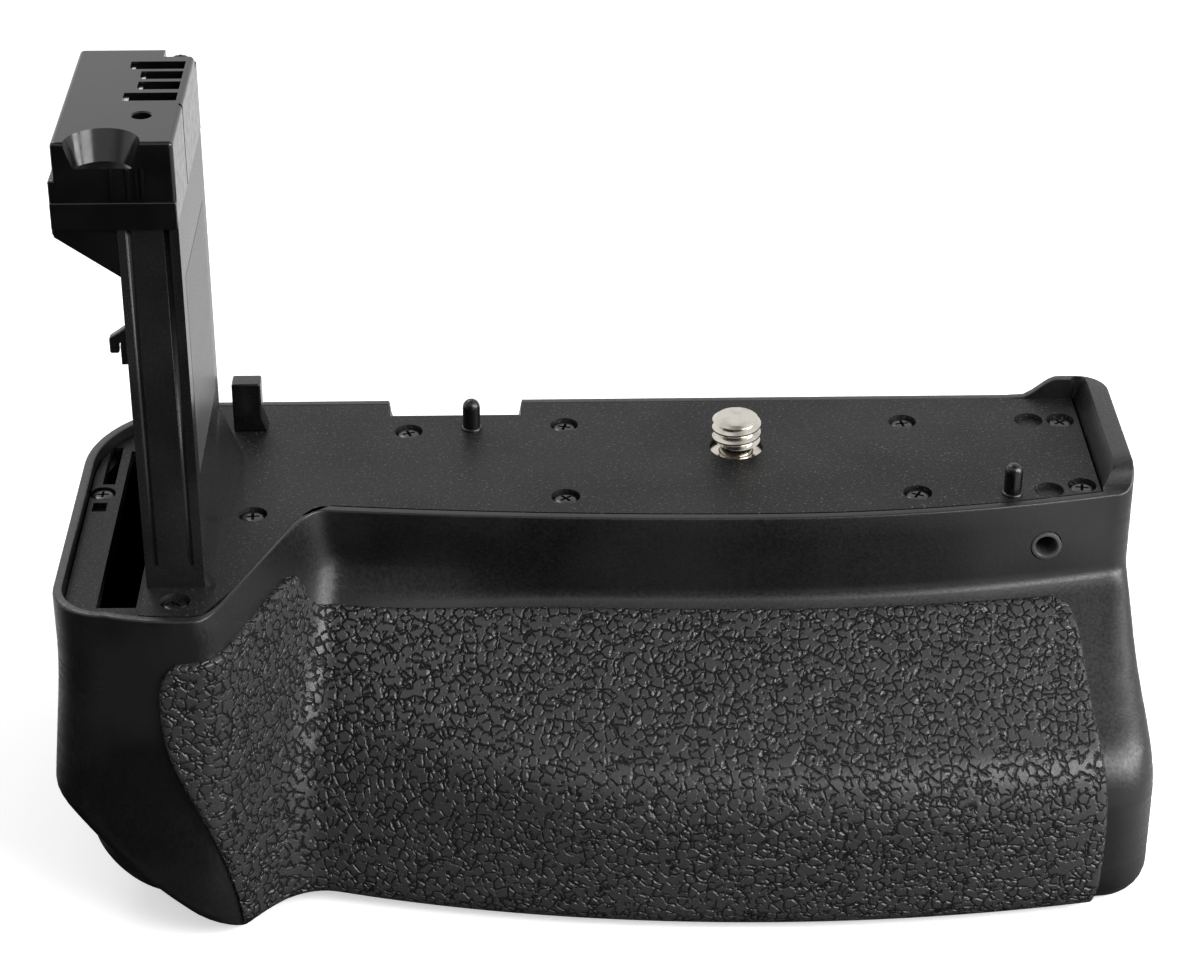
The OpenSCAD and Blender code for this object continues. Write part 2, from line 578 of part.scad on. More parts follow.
module tower_contacts() color([0.85, 0.72, 0.4]) for (s = contact_slots) {
    x0 = tower_x1 - 0.8 - s[1];
    box([x0, tower_y0 + s[0] - 0.9, H + tower_h - 6], [x0 + 0.5, tower_y0 + s[0] + 0.9, H + tower_h - 1]);
    box([x0, tower_y0 + s[0] - 0.9, H + tower_h - 6],
        [tower_x1 - 1.6, tower_y0 + s[0] + 0.9, H + tower_h - 5.5]);
}

module head_screw() color([0.1, 0.1, 0.1]) translate([tower_x1 - 1.8, tower_y1 - 0.3, H + tower_h - 2.4])
    cross_screw(1.15, 0.8, 0.5, 5);

module tower_fixings() color([0.3, 0.3, 0.31]) for (y = tower_screws)
    translate([tower_x0 + 3.4, y, H - plate_t]) rotate([180, 0, 0]) cross_screw(head_r, 1, shank_r, 7.5);

// camera screw, its wheel and what carries them
module camera_screw() color([0.78, 0.77, 0.74]) union() {
    translate([0, 0, cradle_z - 1.3]) cylinder(r = shaft_r, h = H + 1 - cradle_z + 1.3);
    translate([0, 0, H + 0.9]) cylinder(r1 = shaft_r, r2 = thread_r, h = 0.5);
    translate([0, 0, H + 1.4]) cylinder(r = thread_r, h = thread_h - 2);
    translate([0, 0, H + thread_h - 0.6]) cylinder(r1 = thread_r, r2 = thread_r - 0.6, h = 0.6);
}

module thumbwheel() color([0.07, 0.07, 0.07]) difference() {
    translate([0, 0, wheel_z]) cylinder(r = wheel_r, h = wheel_t);
    translate([0, 0, wheel_z + 1.8]) difference() {
        cylinder(r = wheel_r - 3, h = wheel_t);
        translate([0, 0, -1]) cylinder(r = 4.5, h = wheel_t + 2);
    }
    translate([0, 0, wheel_z - 1]) cylinder(r = shaft_r, h = wheel_t + 2);
    for (i = [0:47]) rotate(i * 7.5) translate([wheel_r + 0.3, 0, wheel_z - 1])
        cylinder(r = 0.75, h = wheel_t + 2);
}

module wheel_cradle() color([0.16, 0.16, 0.17]) difference() {
    union() {
        box([-inner_x - 3.1, YC + 3.2, cradle_z], [inner_x + 3.1, YR - 4.5, cradle_z + cradle_t]);
        for (i = [1:4]) translate([seat_screws[i][0], seat_screws[i][1], cradle_z])
            cylinder(r = 2.5, h = H - plate_t - cradle_z);
    }
    for (i = [1:4]) translate([seat_screws[i][0], seat_screws[i][1], H - 10])
        cylinder(r = shank_r + 0.02, h = 12);
    translate([0, 0, cradle_z - 1]) cylinder(r = shaft_r + run, h = 9);
}

module screw_ring() color([0.85, 0.85, 0.83]) translate([0, 0, H - plate_t]) difference() {
    cylinder(r = ring_r, h = plate_t - 0.6);
    translate([0, 0, -1]) cylinder(r = shaft_r + run, h = 9);
}

module shaft_clip() color([0.5, 0.5, 0.5]) translate([0, 0, cradle_z - 0.9]) difference() {
    cylinder(r = shaft_r + 1.7, h = 0.6);
    translate([0, 0, -1]) cylinder(r = shaft_r, h = 9);
    box([-1.2, 1, -1], [1.2, 9, 9]);
}

// rubber pad: the body's front face thickened outwards and cut to the pad's outline
pad_levels = [for (d = outer_levels) if (d > 3.2 && d < H - 0.5) d];
function face_y(x, d) = front_y(x, d) + edge_in(d, base_r);
function face_n(x, d) = let(
    a = (face_y(x + 0.2, d) - face_y(x - 0.2, d)) / 0.4,
    b = (face_y(x, min(d + 0.2, H - 0.2)) - face_y(x, d - 0.2)) / (min(d + 0.2, H - 0.2) - d + 0.2),
    v = [a, -1, -b]) v / norm(v);
module rubber_grip() color([0.13, 0.13, 0.135]) {
    n = column_n - 1 + front_n;
    m = len(pad_levels);
    base = [for (d = pad_levels) let(r = ring(d))
        for (i = [0:n - 1]) let(p = r[front_i + 1 + i]) [p[0], p[1], H - d]];
    skin = [for (k = [0:m - 1], i = [0:n - 1]) let(p = base[k * n + i])
        p + pad_t * face_n(p[0], pad_levels[k])];
    q = n * m;
    outer = [for (k = [0:m - 2], i = [0:n - 2]) let(a = q + k * n + i)
        each [[a, a + 1, a + n + 1], [a, a + n + 1, a + n]]];
    back = [for (k = [0:m - 2], i = [0:n - 2]) let(a = k * n + i)
        each [[a, a + n + 1, a + 1], [a, a + n, a + n + 1]]];
    up = [for (i = [0:n - 2]) each [[i, i + 1, q + i + 1], [i, q + i + 1, q + i]]];
    down = [for (i = [0:n - 2])
        let(a = (m - 1) * n + i) each [[a, q + a + 1, a + 1], [a, q + a, q + a + 1]]];
    near = [for (k = [0:m - 2]) let(a = k * n) each [[a, q + a + n, a + n], [a, q + a, q + a + n]]];
    far = [for (k = [0:m - 2]) let(a = k * n + n - 1) each [[a, a + n, q + a + n], [a, q + a + n, q + a]]];
    intersection() {
        polyhedron(concat(base, skin), concat(outer, back, up, down, near, far));
        translate([0, 20, H]) rotate([90, 0, 0]) linear_extrude(90)
            polygon([for (p = pad_outline) [p[0], -p[1]]]);
    }
}

// release button on the sloped corner
module shutter_button() color([0.06, 0.06, 0.06]) on_corner() union() {
    translate([0, 0, -3.3]) cylinder(r = button_r, h = 3.3 + button_h - 0.8);
    translate([0, 0, button_h - 0.8]) cylinder(r1 = button_r, r2 = button_r - 0.8, h = 0.8);
    translate([0, 0, -4.2]) cylinder(r = button_r + 1, h = 0.9);
    translate([0, 0, -4.8]) cylinder(r = 1.2, h = 0.7);
}

module button_bezel() color([0.12, 0.12, 0.12]) on_corner() difference() {
    union() {
        translate([0, 0, -2.9]) cylinder(r = button_r + 1.6, h = 2.9 + bezel_t);
        translate([0, 0, 0.35]) cylinder(r = button_r + 2.6, h = bezel_t - 0.35);
    }
    translate([0, 0, -5]) cylinder(r = button_r + 0.08, h = 12);
}

module release_switch() color([0.2, 0.2, 0.2]) on_corner() {
    translate([0, 0, -switch_drop]) {
        box([-3.5, -3.5, 0], [3.5, 3.5, 2]);
        translate([0, 0, 2]) cylinder(r = 1.4, h = switch_drop - 2 - 4.8 - button_travel - 0.1);
    }
}

module switch_plate() color([0.55, 0.55, 0.56]) on_corner() difference() {
    box([-3.8, -switch_pegs - 2.2, -switch_drop - 1], [3.8, switch_pegs + 2.2, -switch_drop]);
    for (s = [-1, 1])
        translate([0, s * switch_pegs, -switch_drop - 2]) cylinder(r = cover_shank + fit, h = 5);
}

module switch_fixings() color([0.4, 0.4, 0.4]) for (s = [-1, 1]) on_corner()
    translate([0, s * switch_pegs, -switch_drop - 1]) rotate([180, 0, 0])
        cross_screw(cover_head, 0.75, cover_shank, 5);

// socket for a cable release
module remote_jack() color([0.05, 0.05, 0.05]) translate([jack_x, 0, jack_z]) rotate([90, 0, 0]) {
    y0 = -seat_y(jack_x);
    difference() {
        union() {
            translate([0, 0, y0 - 4.2]) cylinder(r = jack_r + 0.6, h = 4.1);
            box([-2, -2.7, y0 - 13.5], [2, 2.7, y0 - 4.2]);
        }
        translate([0, 0, y0 - 12]) cylinder(r = jack_r, h = 20);
    }
}

// control board over the battery bay
module control_board() color([0.05, 0.28, 0.12]) difference() {
    union() {
        box([XL + 20, YC - 0.5, board_z], [-inner_x - 5.1, YR - 5.5, board_z + board_t]);
        box([-44, -12, board_z + board_t - 0.1], [-35, -3, board_z + board_t + 1.4]);
        box([-58, -4, board_z + board_t - 0.1], [-51, 5, board_z + board_t + 4]);
        box([-34, 1, board_z + board_t - 0.1], [-30, 6, board_z + board_t + 1.8]);
    }
    for (p = [boss_screws[0], boss_screws[3]]) translate([p[0], p[1], board_z - 1])
        cylinder(r = shank_r + fit, h = 5);
}

module board_fixings() color([0.5, 0.5, 0.5]) for (p = [boss_screws[0], boss_screws[3]])
    translate([p[0], p[1], board_z]) rotate([180, 0, 0]) cross_screw(head_r, 1, shank_r, 6);

// contact block under the board, which meets the tray's inner end
module bay_connector() color([0.14, 0.14, 0.15]) union() {
    box([tray_x0 - 2.8, tray_y1 - 19, tray_z + 5.7], [tray_x0 - 0.8, tray_y1 - 7, board_z]);
    for (y = [9.5, 13, 16.5]) translate([tray_x0 - 0.9, tray_y1 - y, knob_z]) rotate([0, 90, 0])
        cylinder(r = 0.7, h = 0.5);
}

// sliding tray for two packs
module battery_tray() color([0.11, 0.11, 0.115]) difference() {
    union() {
        box([tray_x0, tray_y0, tray_z], [tray_x1, tray_y1, tray_top]);
        for (y = cap_screws) translate([tray_x1 - 0.2, y, knob_z]) rotate([0, 90, 0])
            cylinder(r = 2.2, h = XW - cap_t - tray_x1 + 0.2);
    }
    for (k = [0, 1]) box([well_x(k), tray_y0 + tray_wall, tray_z + tray_floor],
        [well_x(k) + well_l + contact_room, tray_y1 - tray_wall, tray_top + 9]);
    // finger cut-outs in the side walls
    for (k = [0, 1]) translate([well_x(k) + well_l / 2, 0, tray_top + 2]) rotate([90, 0, 0])
        translate([0, 0, -60]) cylinder(r = 9, h = 120);
    for (y = cap_screws) translate([tray_x1 - 0.9, y, knob_z]) rotate([0, 90, 0])
        cylinder(r = cover_shank + 0.02, h = 9);
}
function well_x(k) = tray_x0 + tray_wall + k * (well_l + contact_room + tray_wall);
cap_screws = [tray_y0 + 4, tray_y1 - 4];

module tray_cap() color([0.09, 0.09, 0.095]) difference() {
    box([XW - cap_t, tray_y0, tray_z + 0.1], [XW, tray_y1, tray_top]);
    translate([XW - 2.6, knob_y, knob_z]) rotate([0, 90, 0]) cylinder(r = knob_r + gap, h = 9);
    translate([XW - 9, knob_y, knob_z]) rotate([0, 90, 0]) cylinder(r = 2 + run, h = 20);
    for (y = cap_screws) translate([XW - 9, y, knob_z]) rotate([0, 90, 0]) {
        cylinder(r = cover_shank + fit, h = 20);
        translate([0, 0, 9 - 1]) cylinder(r = cover_head + fit, h = 9);
    }
}

module cap_fixings() color([0.3, 0.3, 0.31]) for (y = cap_screws)
    translate([XW - 1, y, knob_z]) rotate([0, 90, 0]) cross_screw(cover_head, 0.75, cover_shank, 5.8);

module tray_contacts() color([0.85, 0.72, 0.4]) for (k = [0, 1], y = [6, 12, 18])
    translate([well_x(k), tray_y1 - y, tray_z + tray_floor + 2]) {
        cube([0.3, 3, 9]);
        intersection() {
            translate([0.3, 0, 6.5]) rotate([-90, 0, 0]) cylinder(r = 0.7, h = 3);
            cube([2, 3, 9]);
        }
    }

module lock_knob() color([0.13, 0.13, 0.13]) translate([0, knob_y, knob_z]) union() {
    translate([XW - 2.3, 0, 0]) rotate([0, 90, 0]) cylinder(r = knob_r, h = 0.9);
    box([XW - 1.4, -knob_r + 1, -1.3], [XW, knob_r - 1, 1.3]);
    translate([XW - cap_t - 1.9, 0, 0]) rotate([0, 90, 0]) cylinder(r = 2, h = cap_t);
}

module lock_tongue() color([0.6, 0.6, 0.61]) translate([XW - cap_t - 1.8, knob_y, knob_z]) difference() {
    union() {
        box([0, 0, -2], [1.4, 11.5, 2]);
        rotate([0, 90, 0]) cylinder(r = 3.4, h = 1.4);
    }
    translate([-1, 0, 0]) rotate([0, 90, 0]) cylinder(r = 2, h = 9);
}

// every piece stands in the frame of the tripod socket
module placed() {
    translate([0, -sock_y, 0]) children();
}

placed() main_housing();
placed() bottom_cover();
placed() cover_fixings();
placed() tripod_socket();
placed() top_plate();
placed() seat_fixings();
placed() locating_pins();
placed() guide_post();
placed() storage_frame();
placed() tower_shaft();
placed() tower_label();
placed() tower_head();
placed() tower_contacts();
placed() head_screw();
placed() tower_fixings();
placed() camera_screw();
placed() thumbwheel();
placed() wheel_cradle();
placed() screw_ring();
placed() shaft_clip();
placed() rubber_grip();
placed() shutter_button();
placed() button_bezel();
placed() release_switch();
placed() switch_plate();
placed() switch_fixings();
placed() remote_jack();
placed() control_board();
placed() board_fixings();
placed() bay_connector();
placed() battery_tray();
placed() tray_cap();
placed() cap_fixings();
placed() tray_contacts();
placed() lock_knob();
placed() lock_tongue();
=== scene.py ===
"""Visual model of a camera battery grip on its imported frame: pieces, finishes and studio.

Lengths are millimetres of the row frame: X to the right end, Y to the rear, Z up, with the origin in
the mouth of the tripod socket. A piece is scaled to metres when it is put into the scene.
"""

import logging
import math
from dataclasses import dataclass
from enum import Enum
from typing import Callable, Sequence

import bmesh
import bpy
from mathutils import Matrix, Vector


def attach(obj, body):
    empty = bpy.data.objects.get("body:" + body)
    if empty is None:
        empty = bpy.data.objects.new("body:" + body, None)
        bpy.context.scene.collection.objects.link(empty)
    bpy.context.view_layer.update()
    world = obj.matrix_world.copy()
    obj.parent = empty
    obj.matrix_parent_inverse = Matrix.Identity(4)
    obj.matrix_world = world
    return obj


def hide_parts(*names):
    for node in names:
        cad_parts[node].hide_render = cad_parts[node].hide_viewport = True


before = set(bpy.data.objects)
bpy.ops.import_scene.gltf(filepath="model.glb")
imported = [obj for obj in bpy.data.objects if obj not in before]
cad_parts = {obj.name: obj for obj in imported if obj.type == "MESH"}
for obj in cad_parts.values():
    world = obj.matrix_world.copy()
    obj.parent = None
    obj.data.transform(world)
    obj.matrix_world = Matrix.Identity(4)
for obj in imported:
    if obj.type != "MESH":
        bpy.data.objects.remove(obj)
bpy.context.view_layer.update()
LOG = logging.getLogger("grip")
# metres in a millimetre
MM = 0.001
# Y of the camera screw, from which the body's formulas count
ROW_Y = 34.6
# the quarter-inch thread of the camera screw and the tripod socket
THREAD_R, PITCH = 3.175, 1.27
# the cable socket's axis, from a point behind the band
JACK_AT = (38.8, 26.0, 39.7)
# the release button's axis: its place on the sloped corner and how far it leans
BUTTON_AT = (-74.887, 4.6, 7.5)
BUTTON_LEAN = math.atan(0.775)
Point = Sequence[float]
Box = tuple[Point, Point]
Run = list[tuple[float, float]]
Colour = tuple[float, float, float, float]
Tree = bpy.types.NodeTree
Socket = bpy.types.NodeSocket
# settings of nodes that recur: a range that eases in and out, and a mix of colours
EASED = {"interpolation_type": "SMOOTHSTEP"}
COLOURS = {"data_type": "RGBA"}


class Body(Enum):
    """The bodies of the frame that pieces ride on."""

    BASE = "base"
    WHEEL = "wheel"
    BUTTON = "button"
    TRAY = "tray"
    LOCK = "lock"


class Side(Enum):
    """Stretches of the body's outline, in order round it."""

    REAR_RIGHT = 0
    REAR = 1
    REAR_LEFT = 2
    LEFT = 3
    FRONT_LEFT = 4
    COLUMN = 5
    FRONT = 6
    FRONT_RIGHT = 7
    RIGHT = 8


Stations = list[tuple[Side, float]]


def linear(code: str) -> Colour:
    """Gives the linear colour of an sRGB hex code such as "1a1b1c"."""
    parts = [int(code[i:i + 2], 16) / 255 for i in (0, 2, 4)]
    return (*[c / 12.92 if c <= 0.04045 else ((c + 0.055) / 1.055) ** 2.4 for c in parts], 1.0)


def placed(name: str, data: bpy.types.ID) -> bpy.types.Object:
    """Gives a new object in the scene that shows some data."""
    made = bpy.data.objects.new(name, data)
    bpy.context.collection.objects.link(made)
    return made


def fresh_tree(owner: bpy.types.Material | bpy.types.World) -> Tree:
    """Gives a material's or the world's node tree, emptied."""
    owner.use_nodes = True
    owner.node_tree.nodes.clear()
    return owner.node_tree


def feed(tree: Tree, node: bpy.types.Node, inputs: dict) -> None:
    """Sets a node's inputs, by name or index, to values, outputs or the first outputs of nodes."""
    for key, value in inputs.items():
        if isinstance(value, bpy.types.Node):
            value = value.outputs[0]
        if isinstance(value, Socket):
            tree.links.new(value, node.inputs[key])
        else:
            node.inputs[key].default_value = value


def add(tree: Tree, kind: str, inputs: dict | Sequence = (), **settings) -> bpy.types.Node:
    """Adds one shader node.

    Args:
        tree: the node tree that takes it.
        kind: the node's type, without the ShaderNode prefix.
        inputs: values, outputs or nodes, by the input's name or index, or in the inputs' order.
        settings: the node's own properties.

    Returns:
        The new node.
    """
    made = tree.nodes.new("ShaderNode" + kind)
    for name, value in settings.items():
        setattr(made, name, value)
    feed(tree, made, inputs if isinstance(inputs, dict) else dict(enumerate(inputs)))
    return made


def lumps(size: float) -> float:
    """Gives the scale of a noise whose lumps are about size millimetres across."""
    return 0.5 / (size * MM)


@dataclass(frozen=True)
class Finish:
    """A finish: its name, its main colour and how it scatters light."""

    name: str
    colour: str
    rough: float
    metal: float = 0.0
    gloss: float = 0.5

    def material(self) -> bpy.types.Material:
        """Gives the finish's material, made on its first use."""
        known = bpy.data.materials.get(self.name)
        if known:
            return known
        made = bpy.data.materials.new(self.name)
        tree = fresh_tree(made)
        place = add(tree, "TexCoord").outputs["Object"]
        shader = add(tree, "BsdfPrincipled", {"Base Color": linear(self.colour), "Roughness": self.rough,
                                              "Metallic": self.metal, "Specular IOR Level": self.gloss})
        self.dress(tree, place, shader)
        add(tree, "OutputMaterial", {"Surface": shader})
        return made

    def tint(self, gain: float = 1.0, lift: float = 0.0) -> Colour:
        """Gives the main colour, made paler or darker."""
        return (*[min(1.0, c * gain + lift) for c in linear(self.colour)[:3]], 1.0)

    def dress(self, tree: Tree, place: Socket, shader: bpy.types.Node) -> None:
        """Adds what sets this finish apart."""
        raise NotImplementedError


@dataclass(frozen=True)
class Moulded(Finish):
    """Black moulded plastic: pits that break up the light, with pale specks where it is coarse."""

    grain: float = 0.16
    depth: float = 0.012
    specks: float = 0.0
    uneven: float = 0.09
    cloud: float = 9.0

    def dress(self, tree: Tree, place: Socket, shader: bpy.types.Node) -> None:
        """Adds pits, specks and an uneven sheen."""
        pits = add(tree, "TexNoise", {"Vector": place, "Scale": lumps(self.grain), "Detail": 3.0})
        clouds = add(tree, "TexNoise", {"Vector": place, "Scale": lumps(self.cloud), "Detail": 2.0})
        share = add(tree, "MapRange", (clouds, 0.35, 0.65), **EASED)
        tone = add(tree, "Mix", {0: share, 6: self.tint(), 7: self.tint(1.5, 0.004)}, **COLOURS).outputs[2]
        if self.specks:
            dots = add(tree, "TexNoise", {"Vector": place, "Scale": lumps(self.grain * 0.8), "Detail": 1.0})
            share = add(tree, "MapRange", (dots, 0.66 - self.specks * 0.1, 0.78), **EASED)
            tone = add(tree, "Mix", {0: share, 6: tone, 7: self.tint(4.0, 0.05)}, **COLOURS).outputs[2]
        dull, shiny = self.rough + self.uneven, self.rough - self.uneven
        sheen = add(tree, "MapRange", (pits, 0.25, 0.75, shiny, dull), **EASED)
        bump = add(tree, "Bump", {"Height": pits, "Strength": 0.9, "Distance": self.depth * MM})
        feed(tree, shader, {"Base Color": tone, "Roughness": sheen, "Normal": bump})


@dataclass(frozen=True)
class Polished(Finish):
    """Polished black plastic: clear reflections with faint sink waves and dust-fine haze."""

    wave: float = 2.6
    depth: float = 0.02

    def dress(self, tree: Tree, place: Socket, shader: bpy.types.Node) -> None:
        """Adds faint waves and uneven polish."""
        waves = add(tree, "TexNoise", {"Vector": place, "Scale": lumps(self.wave), "Detail": 1.0})
        haze = add(tree, "TexNoise", {"Vector": place, "Scale": lumps(0.5), "Detail": 4.0})
        share = add(tree, "MapRange", (waves, 0.3, 0.7), **EASED)
        tone = add(tree, "Mix", {0: share, 6: self.tint(), 7: self.tint(0.6)}, **COLOURS).outputs[2]
        sheen = add(tree, "MapRange", (haze, 0.3, 0.7, self.rough * 0.8, self.rough * 1.4), **EASED)
        bump = add(tree, "Bump", {"Height": waves, "Strength": 0.35, "Distance": self.depth * MM})
        feed(tree, shader, {"Base Color": tone, "Roughness": sheen, "Normal": bump})


@dataclass(frozen=True)
class Grained(Finish):
    """Grained rubber: leather-like cells between thin broken creases, darkened inside by painted shade and
    lit along one edge.
    """

    cell: float = 1.25
    depth: float = 0.28
    wander: float = 0.9

    def dress(self, tree: Tree, place: Socket, shader: bpy.types.Node) -> None:
        """Adds the creases with painted shade in them, fine pores and a dusty sheen."""
        bend = add(tree, "TexNoise", {"Vector": place, "Scale": lumps(0.55), "Detail": 1.5}).outputs["Color"]
        moved = add(tree, "MixRGB", (self.wander * MM, place, bend), blend_type="ADD")
        plates = add(tree, "TexVoronoi", {"Vector": moved, "Scale": 1 / (self.cell * MM), "Randomness": 0.9},
                     feature="DISTANCE_TO_EDGE")
        gaps = add(tree, "TexNoise", {"Vector": place, "Scale": lumps(0.6), "Detail": 1.0})
        breaks = add(tree, "MapRange", (gaps, 0.38, 0.48), **EASED)
        creases = add(tree, "MapRange", (plates, 0.0, 0.2, 1.0, 0.0), **EASED)
        groove = add(tree, "Math", (creases, breaks), operation="MULTIPLY")
        pores = add(tree, "TexNoise", {"Vector": place, "Scale": lumps(0.16), "Detail": 3.0})
        raised = add(tree, "Math", (1.0, groove), operation="SUBTRACT")
        height = add(tree, "Math", (pores, 0.12, raised), operation="MULTIPLY_ADD")
        # painted shade: the creases' colour is darkened and their gloss cut, as if shade fell in them
        inner = add(tree, "MapRange", (groove, 0.68, 1.0), **EASED)
        tone = add(tree, "Mix", {0: inner, 6: self.tint(), 7: self.tint(0.25)}, **COLOURS).outputs[2]
        shaded_crease_gloss = add(tree, "MapRange", (inner, 0.0, 1.0, self.gloss, 0.1), **EASED)
        sheen = add(tree, "MapRange", (pores, 0.2, 0.8, self.rough - 0.06, self.rough + 0.12), **EASED)
        bump = add(tree, "Bump", {"Height": height, "Strength": 1.0, "Distance": self.depth * MM})
        feed(tree, shader, {"Base Color": tone, "Specular IOR Level": shaded_crease_gloss, "Roughness": sheen,
                            "Normal": bump})


@dataclass(frozen=True)
class Metal(Finish):
    """Plated or plain metal: fine tool lines and a slight tarnish."""

    lines: float = 0.05
    depth: float = 0.004

    def dress(self, tree: Tree, place: Socket, shader: bpy.types.Node) -> None:
        """Adds tool lines across the height and cloudy tarnish."""
        stretched = add(tree, "Mapping", {"Vector": place, "Scale": (0.08, 0.08, 1.0)})
        tool = add(tree, "TexNoise", {"Vector": stretched, "Scale": lumps(self.lines), "Detail": 3.0})
        clouds = add(tree, "TexNoise", {"Vector": place, "Scale": lumps(1.4), "Detail": 3.0})
        tarnish = add(tree, "MapRange", (clouds, 0.45, 0.75), **EASED)
        tone = add(tree, "Mix", {0: tarnish, 6: self.tint(), 7: self.tint(0.72)}, **COLOURS).outputs[2]
        sheen = add(tree, "MapRange", (tool, 0.25, 0.75, self.rough * 0.7, self.rough * 1.5), **EASED)
        bump = add(tree, "Bump", {"Height": tool, "Strength": 0.4, "Distance": self.depth * MM})
        feed(tree, shader, {"Base Color": tone, "Roughness": sheen, "Normal": bump})


@dataclass(frozen=True)
class Film(Finish):
    """Blank printed film: an even dark grey with a paper-fine tooth and a soft sheen."""

    tooth: float = 0.1
    depth: float = 0.006

    def dress(self, tree: Tree, place: Socket, shader: bpy.types.Node) -> None:
        """Adds the tooth and faint rubbing marks."""
        teeth = add(tree, "TexNoise", {"Vector": place, "Scale": lumps(self.tooth), "Detail": 2.0})
        stretched = add(tree, "Mapping", {"Vector": place, "Scale": (1.0, 0.2, 1.0)})
        rub = add(tree, "TexNoise", {"Vector": stretched, "Scale": lumps(2.0), "Detail": 2.0})
        worn = add(tree, "MapRange", (rub, 0.4, 0.75), **EASED)
        tone = add(tree, "Mix", {0: worn, 6: self.tint(), 7: self.tint(1.35)}, **COLOURS).outputs[2]
        sheen = add(tree, "MapRange", (teeth, 0.2, 0.8, self.rough - 0.05, self.rough + 0.1), **EASED)
        bump = add(tree, "Bump", {"Height": teeth, "Strength": 0.5, "Distance": self.depth * MM})
        feed(tree, shader, {"Base Color": tone, "Roughness": sheen, "Normal": bump})


# the body: matte black plastic that takes a soft grey sheen at a low angle
SHELL = Moulded("spark_eroded_abs", "0d0d0e", 0.38, grain=0.22, depth=0.02)
# the seat and its frame: coarser texture that sparkles under the top light
SEAT = Moulded("speckled_seat_abs", "121111", 0.44, gloss=0.17, grain=0.2, depth=0.03, specks=0.5)
# the tower's shaft, a little paler and drier
SHAFT = Moulded("dry_matte_abs", "111112", 0.26, grain=0.12, depth=0.001, uneven=0.02)
# the head, the button and the lock's grip: nearly wet black
GLOSS = Polished("polished_abs", "0d0d0e", 0.16)
# the pins and the post: slick black with a softer shine
PIN = Polished("polished_acetal", "0b0b0c", 0.22)
# the hand pad: charcoal rubber, creased like leather
RUBBER = Grained("grained_rubber", "302f30", 0.31)
# the camera screw, its ring, the blades and the tripod socket: bright plate
NICKEL = Metal("bright_nickel", "cfcac0", 0.16, 1.0)
# the fixings: blackened steel, dark but still metal at the edges
OXIDE = Metal("black_oxide_steel", "4c4c4e", 0.24, 0.9)
# the lock's blade, the inner plates and their screws: plain grey steel
STEEL = Metal("plain_steel", "9a9a9b", 0.3, 1.0)
# the tray's springs: warm plate that marks them as contacts
GOLD = Metal("gold_plate", "d9b56a", 0.2, 1.0)
# the cable socket: harder grey plastic that stands out from the band
SOCKET = Moulded("grey_acetal", "39393a", 0.34, grain=0.12, depth=0.004)
# the label: flat film, left blank
LABEL = Film("blank_label_film", "3a3a3b", 0.32)
# the board: green mask over copper
BOARD = Moulded("green_solder_mask", "0d3a1c", 0.3, grain=0.5, depth=0.01)


